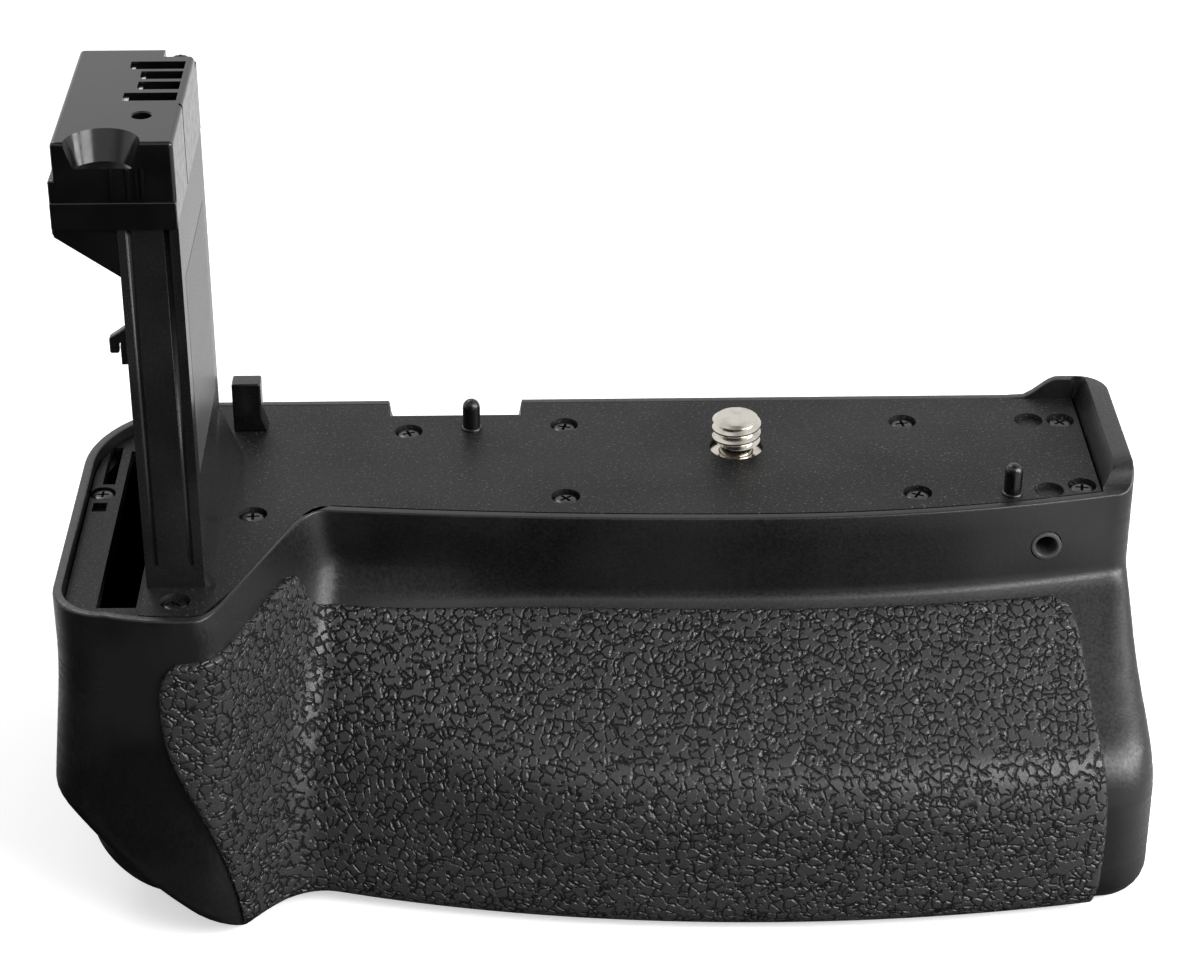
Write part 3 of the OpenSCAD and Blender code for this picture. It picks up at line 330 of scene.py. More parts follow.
class Form:
    """A closed mesh under construction, in millimetres of the row frame."""

    def __init__(self) -> None:
        """Starts empty."""
        self.bm = bmesh.new()

    @classmethod
    def box(cls, low: Point, high: Point) -> "Form":
        """Gives a box by its two corners."""
        form = cls()
        size = [b - a for a, b in zip(low, high)]
        middle = [(a + b) / 2 for a, b in zip(low, high)]
        place = Matrix.Translation(middle) @ Matrix.Diagonal((*size, 1))
        bmesh.ops.create_cube(form.bm, size=1.0, matrix=place)
        return form

    @classmethod
    def turned(cls, profile: Sequence[Point], place: Matrix | None = None, steps: int = 48) -> "Form":
        """Turns a profile of (radius, height) points about local Z.

        Args:
            profile: the points, which start and end on the axis or close on themselves.
            place: where local Z goes.
            steps: how many steps a full turn has.

        Returns:
            The closed form.
        """
        form = cls()
        points = [form.bm.verts.new((r, 0, z)) for r, z in profile]
        edges = [form.bm.edges.new(pair) for pair in zip(points, points[1:])]
        bmesh.ops.spin(form.bm, geom=points + edges, cent=(0, 0, 0), axis=(0, 0, 1), angle=2 * math.pi,
                       steps=steps, use_merge=True)
        form.merge(1e-4).tidy()
        return form.moved(place) if place else form

    @classmethod
    def rod(cls, radius: float, low: float, high: float, place: Matrix | None = None,
            steps: int = 48) -> "Form":
        """Gives a plain round rod about local Z."""
        return cls.turned([(0, low), (radius, low), (radius, high), (0, high)], place, steps)

    @classmethod
    def tube(cls, inner: float, outer: float, low: float, high: float, steps: int = 48) -> "Form":
        """Gives a plain round tube about Z."""
        corners = [(inner, low), (outer, low), (outer, high), (inner, high), (inner, low)]
        return cls.turned(corners, steps=steps)

    @classmethod
    def threaded(cls, root: float, crest: float, low: float, high: float, steps: int = 48) -> "Form":
        """Gives a screw thread about Z, cut off flat at low and high."""
        form = cls()
        heights = ((root, 0.0), (crest, 0.42 * PITCH), (crest, 0.58 * PITCH), (root, PITCH))
        start = low - 1.5 * PITCH
        points = [form.bm.verts.new((r, 0, start + z)) for r, z in heights]
        edges = [form.bm.edges.new(pair) for pair in zip(points, points[1:])]
        turns = math.ceil((high - start) / PITCH) + 1
        bmesh.ops.spin(form.bm, geom=points + edges, cent=(0, 0, 0), axis=(0, 0, 1),
                       dvec=(0, 0, PITCH / steps), angle=2 * math.pi * turns, steps=steps * turns)
        form.merge(1e-3)
        for height, way in ((low, 1), (high, -1)):
            bmesh.ops.bisect_plane(form.bm, geom=form.bm.verts[:] + form.bm.edges[:] + form.bm.faces[:],
                                   plane_co=(0, 0, height), plane_no=(0, 0, way), clear_inner=True)
        form.capped().tidy()
        return form

    @classmethod
    def of_node(cls, name: str) -> "Form":
        """Gives a merged copy of a CAD node, flat faces whole again."""
        form = cls()
        form.bm.from_mesh(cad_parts[name].data)
        bmesh.ops.scale(form.bm, vec=(1 / MM,) * 3, verts=form.bm.verts)
        return form.merge(2e-3).flattened()

    def flattened(self) -> "Form":
        """Joins faces that lie in one plane."""
        bmesh.ops.dissolve_limit(self.bm, angle_limit=math.radians(0.6), verts=self.bm.verts,
                                 edges=self.bm.edges)
        return self

    def merge(self, reach: float) -> "Form":
        """Joins points that lie within reach of each other."""
        bmesh.ops.remove_doubles(self.bm, verts=self.bm.verts, dist=reach)
        return self

    def capped(self) -> "Form":
        """Closes what is open."""
        bmesh.ops.holes_fill(self.bm, edges=[e for e in self.bm.edges if e.is_boundary], sides=0)
        return self

    def tidy(self) -> None:
        """Turns all faces outward."""
        bmesh.ops.recalc_face_normals(self.bm, faces=self.bm.faces)

    def moved(self, place: Matrix) -> "Form":
        """Moves the whole form."""
        bmesh.ops.transform(self.bm, matrix=place, verts=self.bm.verts)
        return self

    def mesh(self) -> bpy.types.Mesh:
        """Gives the form as a mesh datablock."""
        made = bpy.data.meshes.new("form")
        self.bm.to_mesh(made)
        return made

    def join(self, other: "Form", at: Point = (0, 0, 0)) -> "Form":
        """Takes in a copy of another form, moved by at."""
        mesh = other.mesh()
        mesh.transform(Matrix.Translation(at))
        self.bm.from_mesh(mesh)
        bpy.data.meshes.remove(mesh)
        return self

    def combine(self, how: str, tools: Sequence["Form"]) -> "Form":
        """Joins, cuts or keeps by other forms, as how names a boolean operation."""
        for tool in tools:
            pair = [placed("form", form.mesh()) for form in (self, tool)]
            change = pair[0].modifiers.new("change", "BOOLEAN")
            change.operation, change.object, change.solver = how, pair[1], "EXACT"
            graph = bpy.context.evaluated_depsgraph_get()
            made = bpy.data.meshes.new_from_object(pair[0].evaluated_get(graph))
            self.bm.clear()
            self.bm.from_mesh(made)
            bpy.data.meshes.remove(made)
            for one in pair:
                bpy.data.meshes.remove(one.data)
        return self

    def cut(self, *tools: "Form") -> "Form":
        """Cuts other forms away."""
        return self.combine("DIFFERENCE", tools)

    def fuse(self, *tools: "Form") -> "Form":
        """Fuses other forms on."""
        return self.combine("UNION", tools)

    def keep(self, *tools: "Form") -> "Form":
        """Keeps what lies inside other forms."""
        return self.combine("INTERSECT", tools)

    def soften(self, width: float, segments: int = 2, angle: float = 28.0,
               where: Callable[[bmesh.types.BMEdge], bool] | None = None) -> "Form":
        """Rounds the sharp edges.

        Args:
            width: width of the rounding.
            segments: how many faces go round it.
            angle: edges that turn less than this stay.
            where: picks among the sharp edges.

        Returns:
            The form itself.
        """
        limit = math.radians(angle)
        sharp = [e for e in self.bm.edges if len(e.link_faces) == 2 and e.calc_face_angle(0) > limit
                 and (where is None or where(e))]
        bmesh.ops.bevel(self.bm, geom=sharp, offset=width, offset_type="OFFSET", segments=segments,
                        profile=0.5, affect="EDGES", clamp_overlap=True, material=-1)
        return self.merge(1e-3)

    def put(self, name: str, body: Body, finish: Finish, slot: str, *nodes: str, angle: float = 40.0,
            weighted: bool = True) -> bpy.types.Object:
        """Puts the form into the scene.

        Args:
            name: the piece's name.
            body: the body that it rides on.
            finish: its finish.
            slot: not used.
            nodes: the CAD nodes that it stands for.
            angle: edges that turn more than this stay sharp.
            weighted: lets large faces set the normals of small ones.

        Returns:
            The piece.
        """
        self.merge(2e-4)
        bmesh.ops.scale(self.bm, vec=(MM,) * 3, verts=self.bm.verts)
        self.tidy()
        mesh = self.mesh()
        mesh.name = name
        mesh.shade_smooth()
        mesh.set_sharp_from_angle(angle=math.radians(angle))
        piece = placed(name, mesh)
        mesh.materials.append(finish.material())
        if weighted:
            even = piece.modifiers.new("even_normals", "WEIGHTED_NORMAL")
            even.keep_sharp = True
        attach(piece, body.value)
        if nodes:
            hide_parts(*nodes)
        LOG.info("%s: %d faces, on %s", name, len(mesh.polygons), body.value)
        self.bm.free()
        return piece


def put_softened(node: str, piece: str, body: Body, finish: Finish, slot: str, width: float,
                 segments: int = 2) -> None:
    """Puts a copy of a CAD node in the node's place, its sharp edges rounded by width."""
    Form.of_node(node).soften(width, segments).put(piece, body, finish, slot, node)


def runs_along(axis: int) -> Callable[[bmesh.types.BMEdge], bool]:
    """Gives a test for edges that run more than 5 mm along X (0) or Y (1)."""
    return lambda edge: abs(edge.verts[0].co[axis] - edge.verts[1].co[axis]) > 5


def up(height: float) -> Vector:
    """Gives a step straight up."""
    return Vector((0, 0, height))


def smooth_step(t: float) -> float:
    """Rises smoothly from 0 to 1 as t does."""
    t = max(0.0, min(1.0, t))
    return t * t * (3 - 2 * t)


def least(a: float, b: float, blend: float) -> float:
    """Gives the lesser value, rounded off where both are near."""
    near = max(blend - abs(a - b), 0) / blend
    return min(a, b) - near * near * blend / 4


def greatest(a: float, b: float, blend: float) -> float:
    """Gives the greater value, rounded off where both are near."""
    return -least(-a, -b, blend)


@dataclass(frozen=True)
class BodyShape:
    """The body's outside as formulas of x and of the drop under the seat, Y from the camera screw."""

    seat_z: float = 46.0
    left: float = -84.6
    right: float = 50.2
    rear: float = 13.9
    seat_front: float = -18.9
    belly_front: float = -43.2
    column_front: float = -42.0
    left_flare: float = 1.5
    right_flare: float = 1.2
    rear_flare: float = 2.6
    corner_z: float = 19.2
    corner_rise: float = 0.9
    band: float = 10.2
    valley_drop: float = 7.0
    slope: float = math.radians(30.6)
    hollow_r: float = 2.2
    shoulder_r: float = 9.0
    base_r: float = 4.5
    left_base_r: float = 3.0
    rear_base_r: float = 1.8
    front_corner: float = 7.0
    front_right_r: float = 3.0
    rear_right_r: float = 4.0
    rear_left_r: float = 16.5
    seat_bow_left: float = 1010.0
    seat_bow_right: float = 370.0
    belly_bow: float = 452.0
    seat_mid: float = 4.0
    belly_mid: float = 5.0
    valley_end: float = 64.6
    valley_run: float = 35.0
    column_mid: float = 15.6
    column_bow: float = 0.02
    column_end: float = 27.0

    @property
    def hollow_drop(self) -> float:
        """Drop where the hollow meets the slope."""
        return self.band + self.hollow_r * math.cos(self.slope)

    @property
    def slope_drop(self) -> float:
        """Drop where the slope meets the shoulder."""
        run = self.seat_front - self.belly_front - self.shoulder_r * (1 - math.sin(self.slope))
        return self.hollow_drop + (run - self.hollow_r * (1 - math.sin(self.slope))) * math.tan(self.slope)

    @property
    def belly_drop(self) -> float:
        """Drop where the shoulder ends."""
        return self.slope_drop + self.shoulder_r * math.cos(self.slope)

    def belly_share(self, d: float) -> float:
        """Share of the bulge's forward run at a drop."""
        run = self.seat_front - self.belly_front
        if d <= self.band:
            return 0.0
        if d <= self.hollow_drop:
            return (self.hollow_r - math.sqrt(self.hollow_r ** 2 - (d - self.band) ** 2)) / run
        if d <= self.slope_drop:
            start = self.hollow_r * (1 - math.sin(self.slope))
            return (start + (d - self.hollow_drop) / math.tan(self.slope)) / run
        if d <= self.belly_drop:
            arc = math.sqrt(self.shoulder_r ** 2 - (self.belly_drop - d) ** 2)
            return (run - self.shoulder_r + arc) / run
        return 1.0

    def front(self, x: float, d: float) -> float:
        """Y of the front face at x and a drop, the bulge and the column run together."""
        bow = self.seat_bow_right if x > self.seat_mid else self.seat_bow_left
        seat = self.seat_front + (x - self.seat_mid) ** 2 / bow
        belly = self.belly_front + (x - self.belly_mid) ** 2 / self.belly_bow
        valley = smooth_step((self.left + self.valley_end - x) / self.valley_run)
        fill = max(0.0, min(1.0, (d - self.valley_drop) / (self.seat_z - 9)))
        share = (1 - valley) * self.belly_share(d) + valley * math.sin(math.pi / 2 * fill) ** 1.2
        bulge = seat + (belly - seat) * share
        low = max(0.0, min(1.0, d / 44))
        face = self.column_front + self.column_bow * (x - self.left - self.column_mid) ** 2
        face -= 3 * smooth_step((d - 8) / 32)
        flank = self.column_front + 1.8 - 1.6 * low + (2.5 - 1.1 * low) * (x - self.left - 20 - 2 * low)
        return least(greatest(face, flank, 3.5), bulge, 5 + 5 * low)

    def front_in(self, x: float, d: float, wall: float) -> float:
        """Y of the front face moved inward by a wall."""
        if wall <= 0:
            return self.front(x, d)
        reach = 0.7 * wall
        return max(self.front(x + reach * a, d + reach * b) + wall * math.sqrt(1 - 0.49 * (a * a + b * b))
                   for a in (-1, 0, 1) for b in (-1, 0, 1))

    def left_x(self, d: float) -> float:
        """X of the left face at a drop, with the sloped lower corner."""
        corner = self.left - self.left_flare + (d - self.seat_z + self.corner_z) / self.corner_rise
        return greatest(self.left - self.left_flare * smooth_step((d - 6) / 22), corner, 1.6)

    def edge(self, d: float, radius: float) -> float:
        """How far the rounded bottom edge has run in at a drop."""
        rise = d - self.seat_z + radius
        return 0.0 if rise < 0 else radius - math.sqrt(max(radius ** 2 - rise ** 2, 0))

    def sole_r(self, x: float) -> float:
        """Radius of the front's bottom edge at x, tighter under the column."""
        return self.base_r - (self.base_r - self.left_base_r) * smooth_step((self.left + 34 - x) / 16)

    def face(self, x: float, d: float) -> Vector:
        """Point on the front face, bottom edge included."""
        return Vector((x, self.front(x, d) + self.edge(d, self.sole_r(x)), self.seat_z - d))

    def normal(self, x: float, d: float) -> Vector:
        """Outward direction of the front face."""
        low, high = min(d + 0.15, self.seat_z - 0.1), d - 0.15
        across = self.face(x + 0.15, d) - self.face(x - 0.15, d)
        return across.cross(self.face(x, high) - self.face(x, low)).normalized()

    def ring(self, stations: Stations, d: float, inset: float = 0.0, wall: float = 0.0) -> Run:
        """Gives the outline at one level.

        Args:
            stations: side and share along it, for each point.
            d: drop under the seat.
            inset: moves the outline evenly inward.
            wall: gives the inside of a wall this thick.

        Returns:
            One (x, y) for each station.
        """
        sole = self.edge(d, self.base_r) + inset
        left_sole = self.edge(d, self.left_base_r) + inset
        lean = math.atan(self.corner_rise)
        left = max(self.left_x(d) + wall, self.left_x(d + wall * math.cos(lean)) + wall * math.sin(lean))
        left += 0.35 * self.edge(d, self.left_base_r) + inset
        right = self.right + self.right_flare * smooth_step((d - 17) / 14) - sole - wall
        back = self.rear + self.rear_flare * smooth_step((d - 8) / 14)
        back = back - self.edge(d, self.rear_base_r) - inset - wall
        rear_right = max(self.rear_right_r - inset - wall, 0.6)
        rear_left = max(self.rear_left_r * (1 - 0.5 * smooth_step((d - 12) / 14)) - inset - wall, 2)
        front_left = max(self.front_corner - 4 * smooth_step((d - 20) / 12) - left_sole - wall, 0.8)
        front_right = max(self.front_right_r + 3.5 * smooth_step((d - 10) / 14) - sole - wall, 0.8)
        y_left = self.front_in(left + front_left, d, wall) + left_sole
        y_right = self.front_in(right - front_right, d, wall) + sole
        middle = self.left + self.column_end
        arcs = {Side.REAR_RIGHT: (right - rear_right, back - rear_right, rear_right, 0),
                Side.REAR_LEFT: (left + rear_left, back - rear_left, rear_left, 90),
                Side.FRONT_LEFT: (left + front_left, y_left + front_left, front_left, 180),
                Side.FRONT_RIGHT: (right - front_right, y_right + front_right, front_right, 270)}
        spans = {Side.COLUMN: (left + front_left, middle), Side.FRONT: (middle, right - front_right)}
        out = []
        for side, t in stations:
            if side in arcs:
                cx, cy, radius, start = arcs[side]
                turn = math.radians(start + 90 * t)
                out.append((cx + radius * math.cos(turn), cy + radius * math.sin(turn)))
            elif side in spans:
                x = spans[side][0] + (spans[side][1] - spans[side][0]) * t
                out.append((x, self.front_in(x, d, wall) + self.edge(d, self.sole_r(x)) + inset))
            elif side == Side.REAR:
                out.append((right - rear_right + (left + rear_left - right + rear_right) * t, back))
            elif side == Side.LEFT:
                out.append((left, back - rear_left + (y_left + front_left - back + rear_left) * t))
            else:
                out.append((right, y_right + front_right + (back - rear_right - y_right - front_right) * t))
        return out


SHAPE = BodyShape()


def corner_place() -> Matrix:
    """Gives the frame of the sloped corner, local Z outward, at the button's axis."""
    return Matrix.Translation(BUTTON_AT) @ Matrix.Rotation(math.pi + BUTTON_LEAN, 4, "Y")


def along(axis: str, at: Point) -> Matrix:
    """Gives a place whose local Z points along +X, -Y, +Z or -Z."""
    turn = {"X": Matrix.Rotation(math.pi / 2, 4, "Y"), "-Y": Matrix.Rotation(math.pi / 2, 4, "X"),
            "Z": Matrix.Identity(4), "-Z": Matrix.Rotation(math.pi, 4, "X")}[axis]
    return Matrix.Translation(at) @ turn


@dataclass
class HousingShell:
    """The outer shell: band, bulge, valley, column, rim, raised lip, openings and inner ribs."""

    rim: float = 1.2
    lip: float = 2.8
    lip_x: float = 46.0
    lip_rear: tuple[float, float] = (38.8, 5.2)
    lip_side: tuple[float, float] = (46.5, 2.0)
    lip_front: tuple[float, float] = (-13.9, 4.4)
    notch: tuple[float, float, float] = (-45.6, -28.2, 2.3)
    wall: float = 2.0
    top_r: float = 0.3
    chamfer: float = 0.12
    seat_ledge: float = 1.85
    store_ledge: float = 3.3
    keel: tuple[float, float] = (-50.0, 36.0)
    hub: tuple[float, float] = (-6.0, -12.0)
    cover: Box = ((-56.15, 3.15, -1), (44.15, 48.25, 2.6))
    tray_mouth: Box = ((47.8, 6.9, 2.1), (56.4, 45.9, 19.1))
    wheel_slot: Box = ((-15, 44.5, 24), (15, 57, 31.6))
    rails: tuple[Box, ...] = (((-50.9, 4.3, 1.2), (48.9, 6.9, 9)), ((-50.9, 45.9, 1.2), (48.9, 50, 9)))
    keeper: Box = ((47.4, 20.6, 19.3), (50.2, 32.6, 24))
    land_r: float = 5.8
    socket_r: float = 4.4
    jack_r: float = 2.05
    button_r: float = 7.1
    bosses: tuple[Point, ...] = ((-42.9, 39.6), (43.4, 40.9), (43.6, 23.3), (-61.8, 18.1), (-69.5, -2.6))

    def stations(self) -> Stations:
        """Gives the stations round the outline, closer at the lip's end and at the notch."""
        out = [(Side.REAR_RIGHT, i / 10) for i in range(10)]
        marks = [45.6, 44.8, 44.2, 43.6, 43.2, 42.8, 42.3, 41.8, 41.3, 40.9, 40.5, 39.5]
        marks += list(range(37, -26, -3))
        marks += [-27.2, -27.7, -27.95, -28.1, -28.25, -28.45, -28.8, -29.5, -31.5]
        marks += list(range(-34, -44, -3))
        marks += [-44.3, -45, -45.35, -45.55, -45.7, -45.85, -46.1, -46.6, -48]
        marks += list(range(-50, -68, -3))
        start = SHAPE.right - SHAPE.rear_right_r
        run = start - (SHAPE.left + SHAPE.rear_left_r)
        out += [(Side.REAR, 0.0)] + [(Side.REAR, (start - x) / run) for x in marks]
        for side, count in ((Side.REAR_LEFT, 20), (Side.LEFT, 14), (Side.FRONT_LEFT, 9), (Side.COLUMN, 26),
                            (Side.FRONT, 96), (Side.FRONT_RIGHT, 9)):
            out += [(side, i / count) for i in range(count)]
        return out + [(Side.RIGHT, i / 16) for i in range(16)]

    def rim_rise(self, x: float, y: float) -> float:
        """Gives how far the rim's top stands over the seat: down at the notch, up along the lip."""
        low, high, deep = self.notch
        if y > SHAPE.rear - 3 and low - 0.3 < x < high + 0.3:
            return -deep * min(smooth_step((x - low + 0.2) / 0.4), smooth_step((high + 0.2 - x) / 0.4))
        start, run = self.lip_rear if y > SHAPE.rear - 4.1 else self.lip_side
        front, fade = self.lip_front
        return self.lip * smooth_step((x - start) / run) * smooth_step((y - front) / fade)

    @staticmethod
    def level(stations: Stations, z: float, *ring: float) -> list[Vector]:
        """Gives an outline's points at height z, from what the shape's ring takes after the stations."""
        return [Vector((x, y, z)) for x, y in SHAPE.ring(stations, *ring)]

    def rows(self, stations: Stations) -> list[list[Vector]]:
        """Gives the shell's rings of points, from the middle of the base round the rim to the inner floor."""
        top, sole_r = SHAPE.seat_z, SHAPE.base_r
        sole = self.level(stations, 0, top)
        rows = [[self.inward(p).lerp(p, s) for p in sole] for s in (0.2, 0.6, 0.96)]
        drops = [top - sole_r + sole_r * math.sin(math.radians(a)) for a in range(90, 0, -10)]
        drops += [top - sole_r - 0.8 * i for i in range(37)] + [11.8 - 0.4 * i for i in range(12)]
        drops += [6.2, 5, 4, 3.4]
        rows += [self.level(stations, top - d, d) for d in drops]
        rows += self.rim_rows(stations)
        drops = [3.5] + [6 + 2.9 * i for i in range(13)] + [top - self.wall]
        rows += [self.level(stations, top - d, d, 0, self.wall) for d in drops]
        floor = rows[-1]
        return rows + [[self.inward(p).lerp(p, s) for p in floor] for s in (0.9, 0.5, 0.2)]

    def rim_rows(self, stations: Stations) -> list[list[Vector]]:
        """Gives the rings over the rim: its rounded top, its inner edge and the ledge behind it."""
        top = SHAPE.seat_z
        outer = self.level(stations, 0, 0)
        inset = self.level(stations, 0, 0, self.top_r)
        edge = [Vector((min(x, 0.95 * self.lip_x + 0.05 * x), y, 0))
                for x, y in SHAPE.ring(stations, 0, self.rim)]
        deep = self.level(stations, 0, 0, 6.0)
        rise = [self.rim_rise(p.x, p.y) for p in outer]
        for i, p in enumerate(outer):
            if p.y > SHAPE.rear - 3 and self.notch[0] < p.x < self.notch[1]:
                edge[i] = Vector((p.x, deep[i].y, 0))
        rows = []
        for turn in (0, 30, 60, 90):
            s, c = math.sin(math.radians(turn)), math.cos(math.radians(turn))
            rows.append([a.lerp(b, 1 - c) + up(top + h - self.top_r + self.top_r * s)
                         for a, b, h in zip(outer, inset, rise)])
        crest, brink, ledge = [], [], []
        for a, b, h in zip(inset, edge, rise):
            reach = (a - b).length
            slope = max(h, 0) * 0.5 if b.x > self.lip_x - 0.01 else 0.0
            run = min(slope + self.chamfer, reach * 0.8)
            crest.append(b.lerp(a, run / reach) + up(top + h))
            drop = self.chamfer if slope < 0.2 else max(h, 0)
            brink.append(b + up(top + h - drop))
            in_store = b.x < SHAPE.left + 11 or h < -0.1
            ledge.append(b + up(top - (self.store_ledge if in_store else self.seat_ledge)))
        return rows + [crest, brink, ledge]

    def inward(self, p: Vector) -> Vector:
        """Gives the place on the line along the body's middle that a point of the floor runs in to."""
        return Vector((max(self.keel[0], min(self.keel[1], p.x)), self.hub[1], p.z))

    def shell(self) -> Form:
        """Gives the closed shell, a sphere whose rings take the shell's places."""
        stations = self.stations()
        rows = self.rows(stations)
        form = Form()
        across, high = len(stations), len(rows) + 1
        bmesh.ops.create_uvsphere(form.bm, u_segments=across, v_segments=high, radius=1.0)
        for v in form.bm.verts:
            row = round(math.acos(max(-1.0, min(1.0, -v.co.z))) / math.pi * high)
            if row in (0, high):
                place = Vector((*self.hub, self.wall if row else 0))
            else:
                place = rows[row - 1][round(math.atan2(v.co.y, v.co.x) / (2 * math.pi) * across) % across]
            v.co = place + Vector((0, ROW_Y, 0))
        form.tidy()
        return form

    def openings(self) -> list[Form]:
        """Gives what is cut out: cover, tray, wheel, jack, button and tripod socket."""
        cover = Form.box(*self.cover).cut(Form.rod(self.land_r, -3, 9))
        tray = Form.box(*self.tray_mouth).soften(0.6, 3, where=runs_along(0))
        wheel = Form.box(*self.wheel_slot).soften(1.2, 4, where=runs_along(1))
        jack = Form.rod(self.jack_r, 0, 14, along("-Y", JACK_AT))
        button = Form.rod(self.button_r, -6, 6, corner_place())
        return [cover, tray, wheel, jack, button, Form.rod(self.socket_r, -1, 7)]

    def ribs(self) -> Form:
        """Gives the rails, the keeper, the socket's seat and the screw bosses inside."""
        form = Form()
        for low, high in (*self.rails, self.keeper):
            form.join(Form.box(low, high).soften(0.3))
        form.join(Form.tube(self.socket_r, self.land_r, 2.3, 7.7))
        boss = Form.tube(0.97, 2.5, -14, -1.9, 24)
        for x, y in self.bosses:
            form.join(boss, (x, y, SHAPE.seat_z))
        return form

    def build(self) -> None:
        """Builds the shell with its openings and inner ribs."""
        self.shell().cut(*self.openings()).join(self.ribs()).put(
            "housing_shell", Body.BASE, SHELL, "shell_plastic", "main_housing", angle=32, weighted=False)


@dataclass
class GripPad:
    """The grained hand pad: a skin on the front face with rounded edges."""

    thick: float = 0.9
    sunk: float = 0.25
    edge_r: float = 0.8
    columns: int = 300
    rows: int = 130
    back: int = 20
    column_step: float = 0.36
    row_step: float = 0.42

    @staticmethod
    def run(*points: Point) -> Run:
        """Gives (x, drop) points, their x counted from the body's left end, or from its right if below 0."""
        return [(x + (SHAPE.left if x > 0 else SHAPE.right), drop) for x, drop in points]

    def sides(self) -> tuple[Run, Run, Run, Run]:
        """Gives the pad's top, right, bottom and left sides, in the reading direction."""
        hollow, slope, belly = SHAPE.hollow_drop, SHAPE.slope_drop, SHAPE.belly_drop
        top = self.run((15.2, 6.0), (18, 5.7), (22, 5.6), (26.6, 4.9), (27.8, 5.2), (28.6, 7.0),
                       (29.8, hollow - 0.9), (33, hollow + 0.1), (60, hollow + 0.3), (-11.5, hollow + 0.5),
                       (-9.4, hollow + 0.9), (-8.2, hollow + 1.8))
        side = self.run((-8.2, hollow + 1.8), (-7.4, hollow + 3.6), (-7.2, slope - 4), (-6.1, slope + 1.2),
                        (-5.6, belly), (-5.6, 37), (-5.9, 42), (-6.4, 44.4))
        base = self.run((21.2, 43.7), (40, 44.3), (60, 44.6), (-6.4, 44.4))
        near = self.run((15.2, 6.0), (13.8, 7.2), (12.9, 10), (13.2, 16.6), (14.6, 21.3), (18.6, 29.6),
                        (20.6, 38.6), (21.2, 43.7))
        return top, side, base, near

    @staticmethod
    def walk(points: Sequence[Point], t: float) -> Vector:
        """Gives the point a share t along a run of points."""
        spots = [Vector(p) for p in points]
        left = t * sum((b - a).length for a, b in zip(spots, spots[1:]))
        for a, b in zip(spots, spots[1:]):
            step = (b - a).length
            if left <= step:
                return a.lerp(b, left / step)
            left -= step
        return spots[-1]

    @staticmethod
    def eased(points: Run) -> Run:
        """Rounds the corners of a run of points twice."""
        for _ in range(2):
            out = [points[0]]
            for a, b in zip(points, points[1:]):
                out += [(a[0] * 0.75 + b[0] * 0.25, a[1] * 0.75 + b[1] * 0.25),
                        (a[0] * 0.25 + b[0] * 0.75, a[1] * 0.25 + b[1] * 0.75)]
            points = out + [points[-1]]
        return points

    def build(self) -> None:
        """Builds the pad as one grid wrapped round its front, edges and back."""
        top, side, base, near = (self.eased(run) for run in self.sides())
        n, m = self.columns, self.rows
        heads = [self.walk(top, i / n) for i in range(n + 1)]
        feet = [self.walk(base, i / n) for i in range(n + 1)]
        lefts = [self.walk(near, k / m) for k in range(m + 1)]
        rights = [self.walk(side, k / m) for k in range(m + 1)]
        around = m + 1 + self.back + 1
        form = Form()
        bmesh.ops.create_grid(form.bm, x_segments=n, y_segments=around, size=0.5)
        for v in form.bm.verts:
            i, k = round((v.co.x + 0.5) * n), round((v.co.y + 0.5) * around) % around
            front = k <= m
            share = k / m if front else 1 - (k - m - 1) / self.back
            row = min(round(share * m), m)
            u = i / n
            spot = heads[i] * (1 - share) + feet[i] * share + lefts[row] * (1 - u) + rights[row] * u
            spot -= (heads[0] * (1 - u) * (1 - share) + heads[n] * u * (1 - share)
                     + feet[0] * (1 - u) * share + feet[n] * u * share)
            rim = min(min(i, n - i) * self.column_step, min(share, 1 - share) * m * self.row_step)
            swell = min(1.0, math.sqrt(max(0.0, 1 - (1 - min(rim / self.edge_r, 1.0)) ** 2)))
            lift = self.thick * (0.45 + 0.55 * swell) if front else -self.sunk
            v.co = SHAPE.face(*spot) + SHAPE.normal(*spot) * lift + Vector((0, ROW_Y, 0))
        form.merge(1e-4).capped().put("hand_pad", Body.BASE, RUBBER, "grip_rubber", "rubber_grip", angle=50,
                                      weighted=False)


@dataclass
class CrossScrew:
    """A cross-head screw: domed head, tapered cross and plain shank, the head's underside at the origin."""

    head: float = 1.65
    tall: float = 1.0
    shank: float = 0.95
    length: float = 7.5
    taper: float = 0.72

    def form(self) -> Form:
        """Gives the screw, head up."""
        r, h = self.head, self.tall
        profile = [(0, -self.length), (self.shank * 0.7, -self.length), (self.shank, -self.length + 0.4),
                   (self.shank, 0), (r * 0.96, 0), (r, 0.08), (r, h * 0.55), (r * 0.93, h * 0.75),
                   (r * 0.75, h * 0.92), (r * 0.45, h), (0, h)]
        screw = Form.turned(profile, steps=32)
        arm, half, foot = r * 0.62, r * 0.14, h * 0.35
        cross = Form.box((-arm, -half, foot), (arm, half, h + 1))
        cross.fuse(Form.box((-half, -arm, foot), (half, arm, h + 1)))
        for v in cross.bm.verts:
            if v.co.z < h:
                v.co.x *= self.taper
                v.co.y *= self.taper
        return screw.cut(cross)


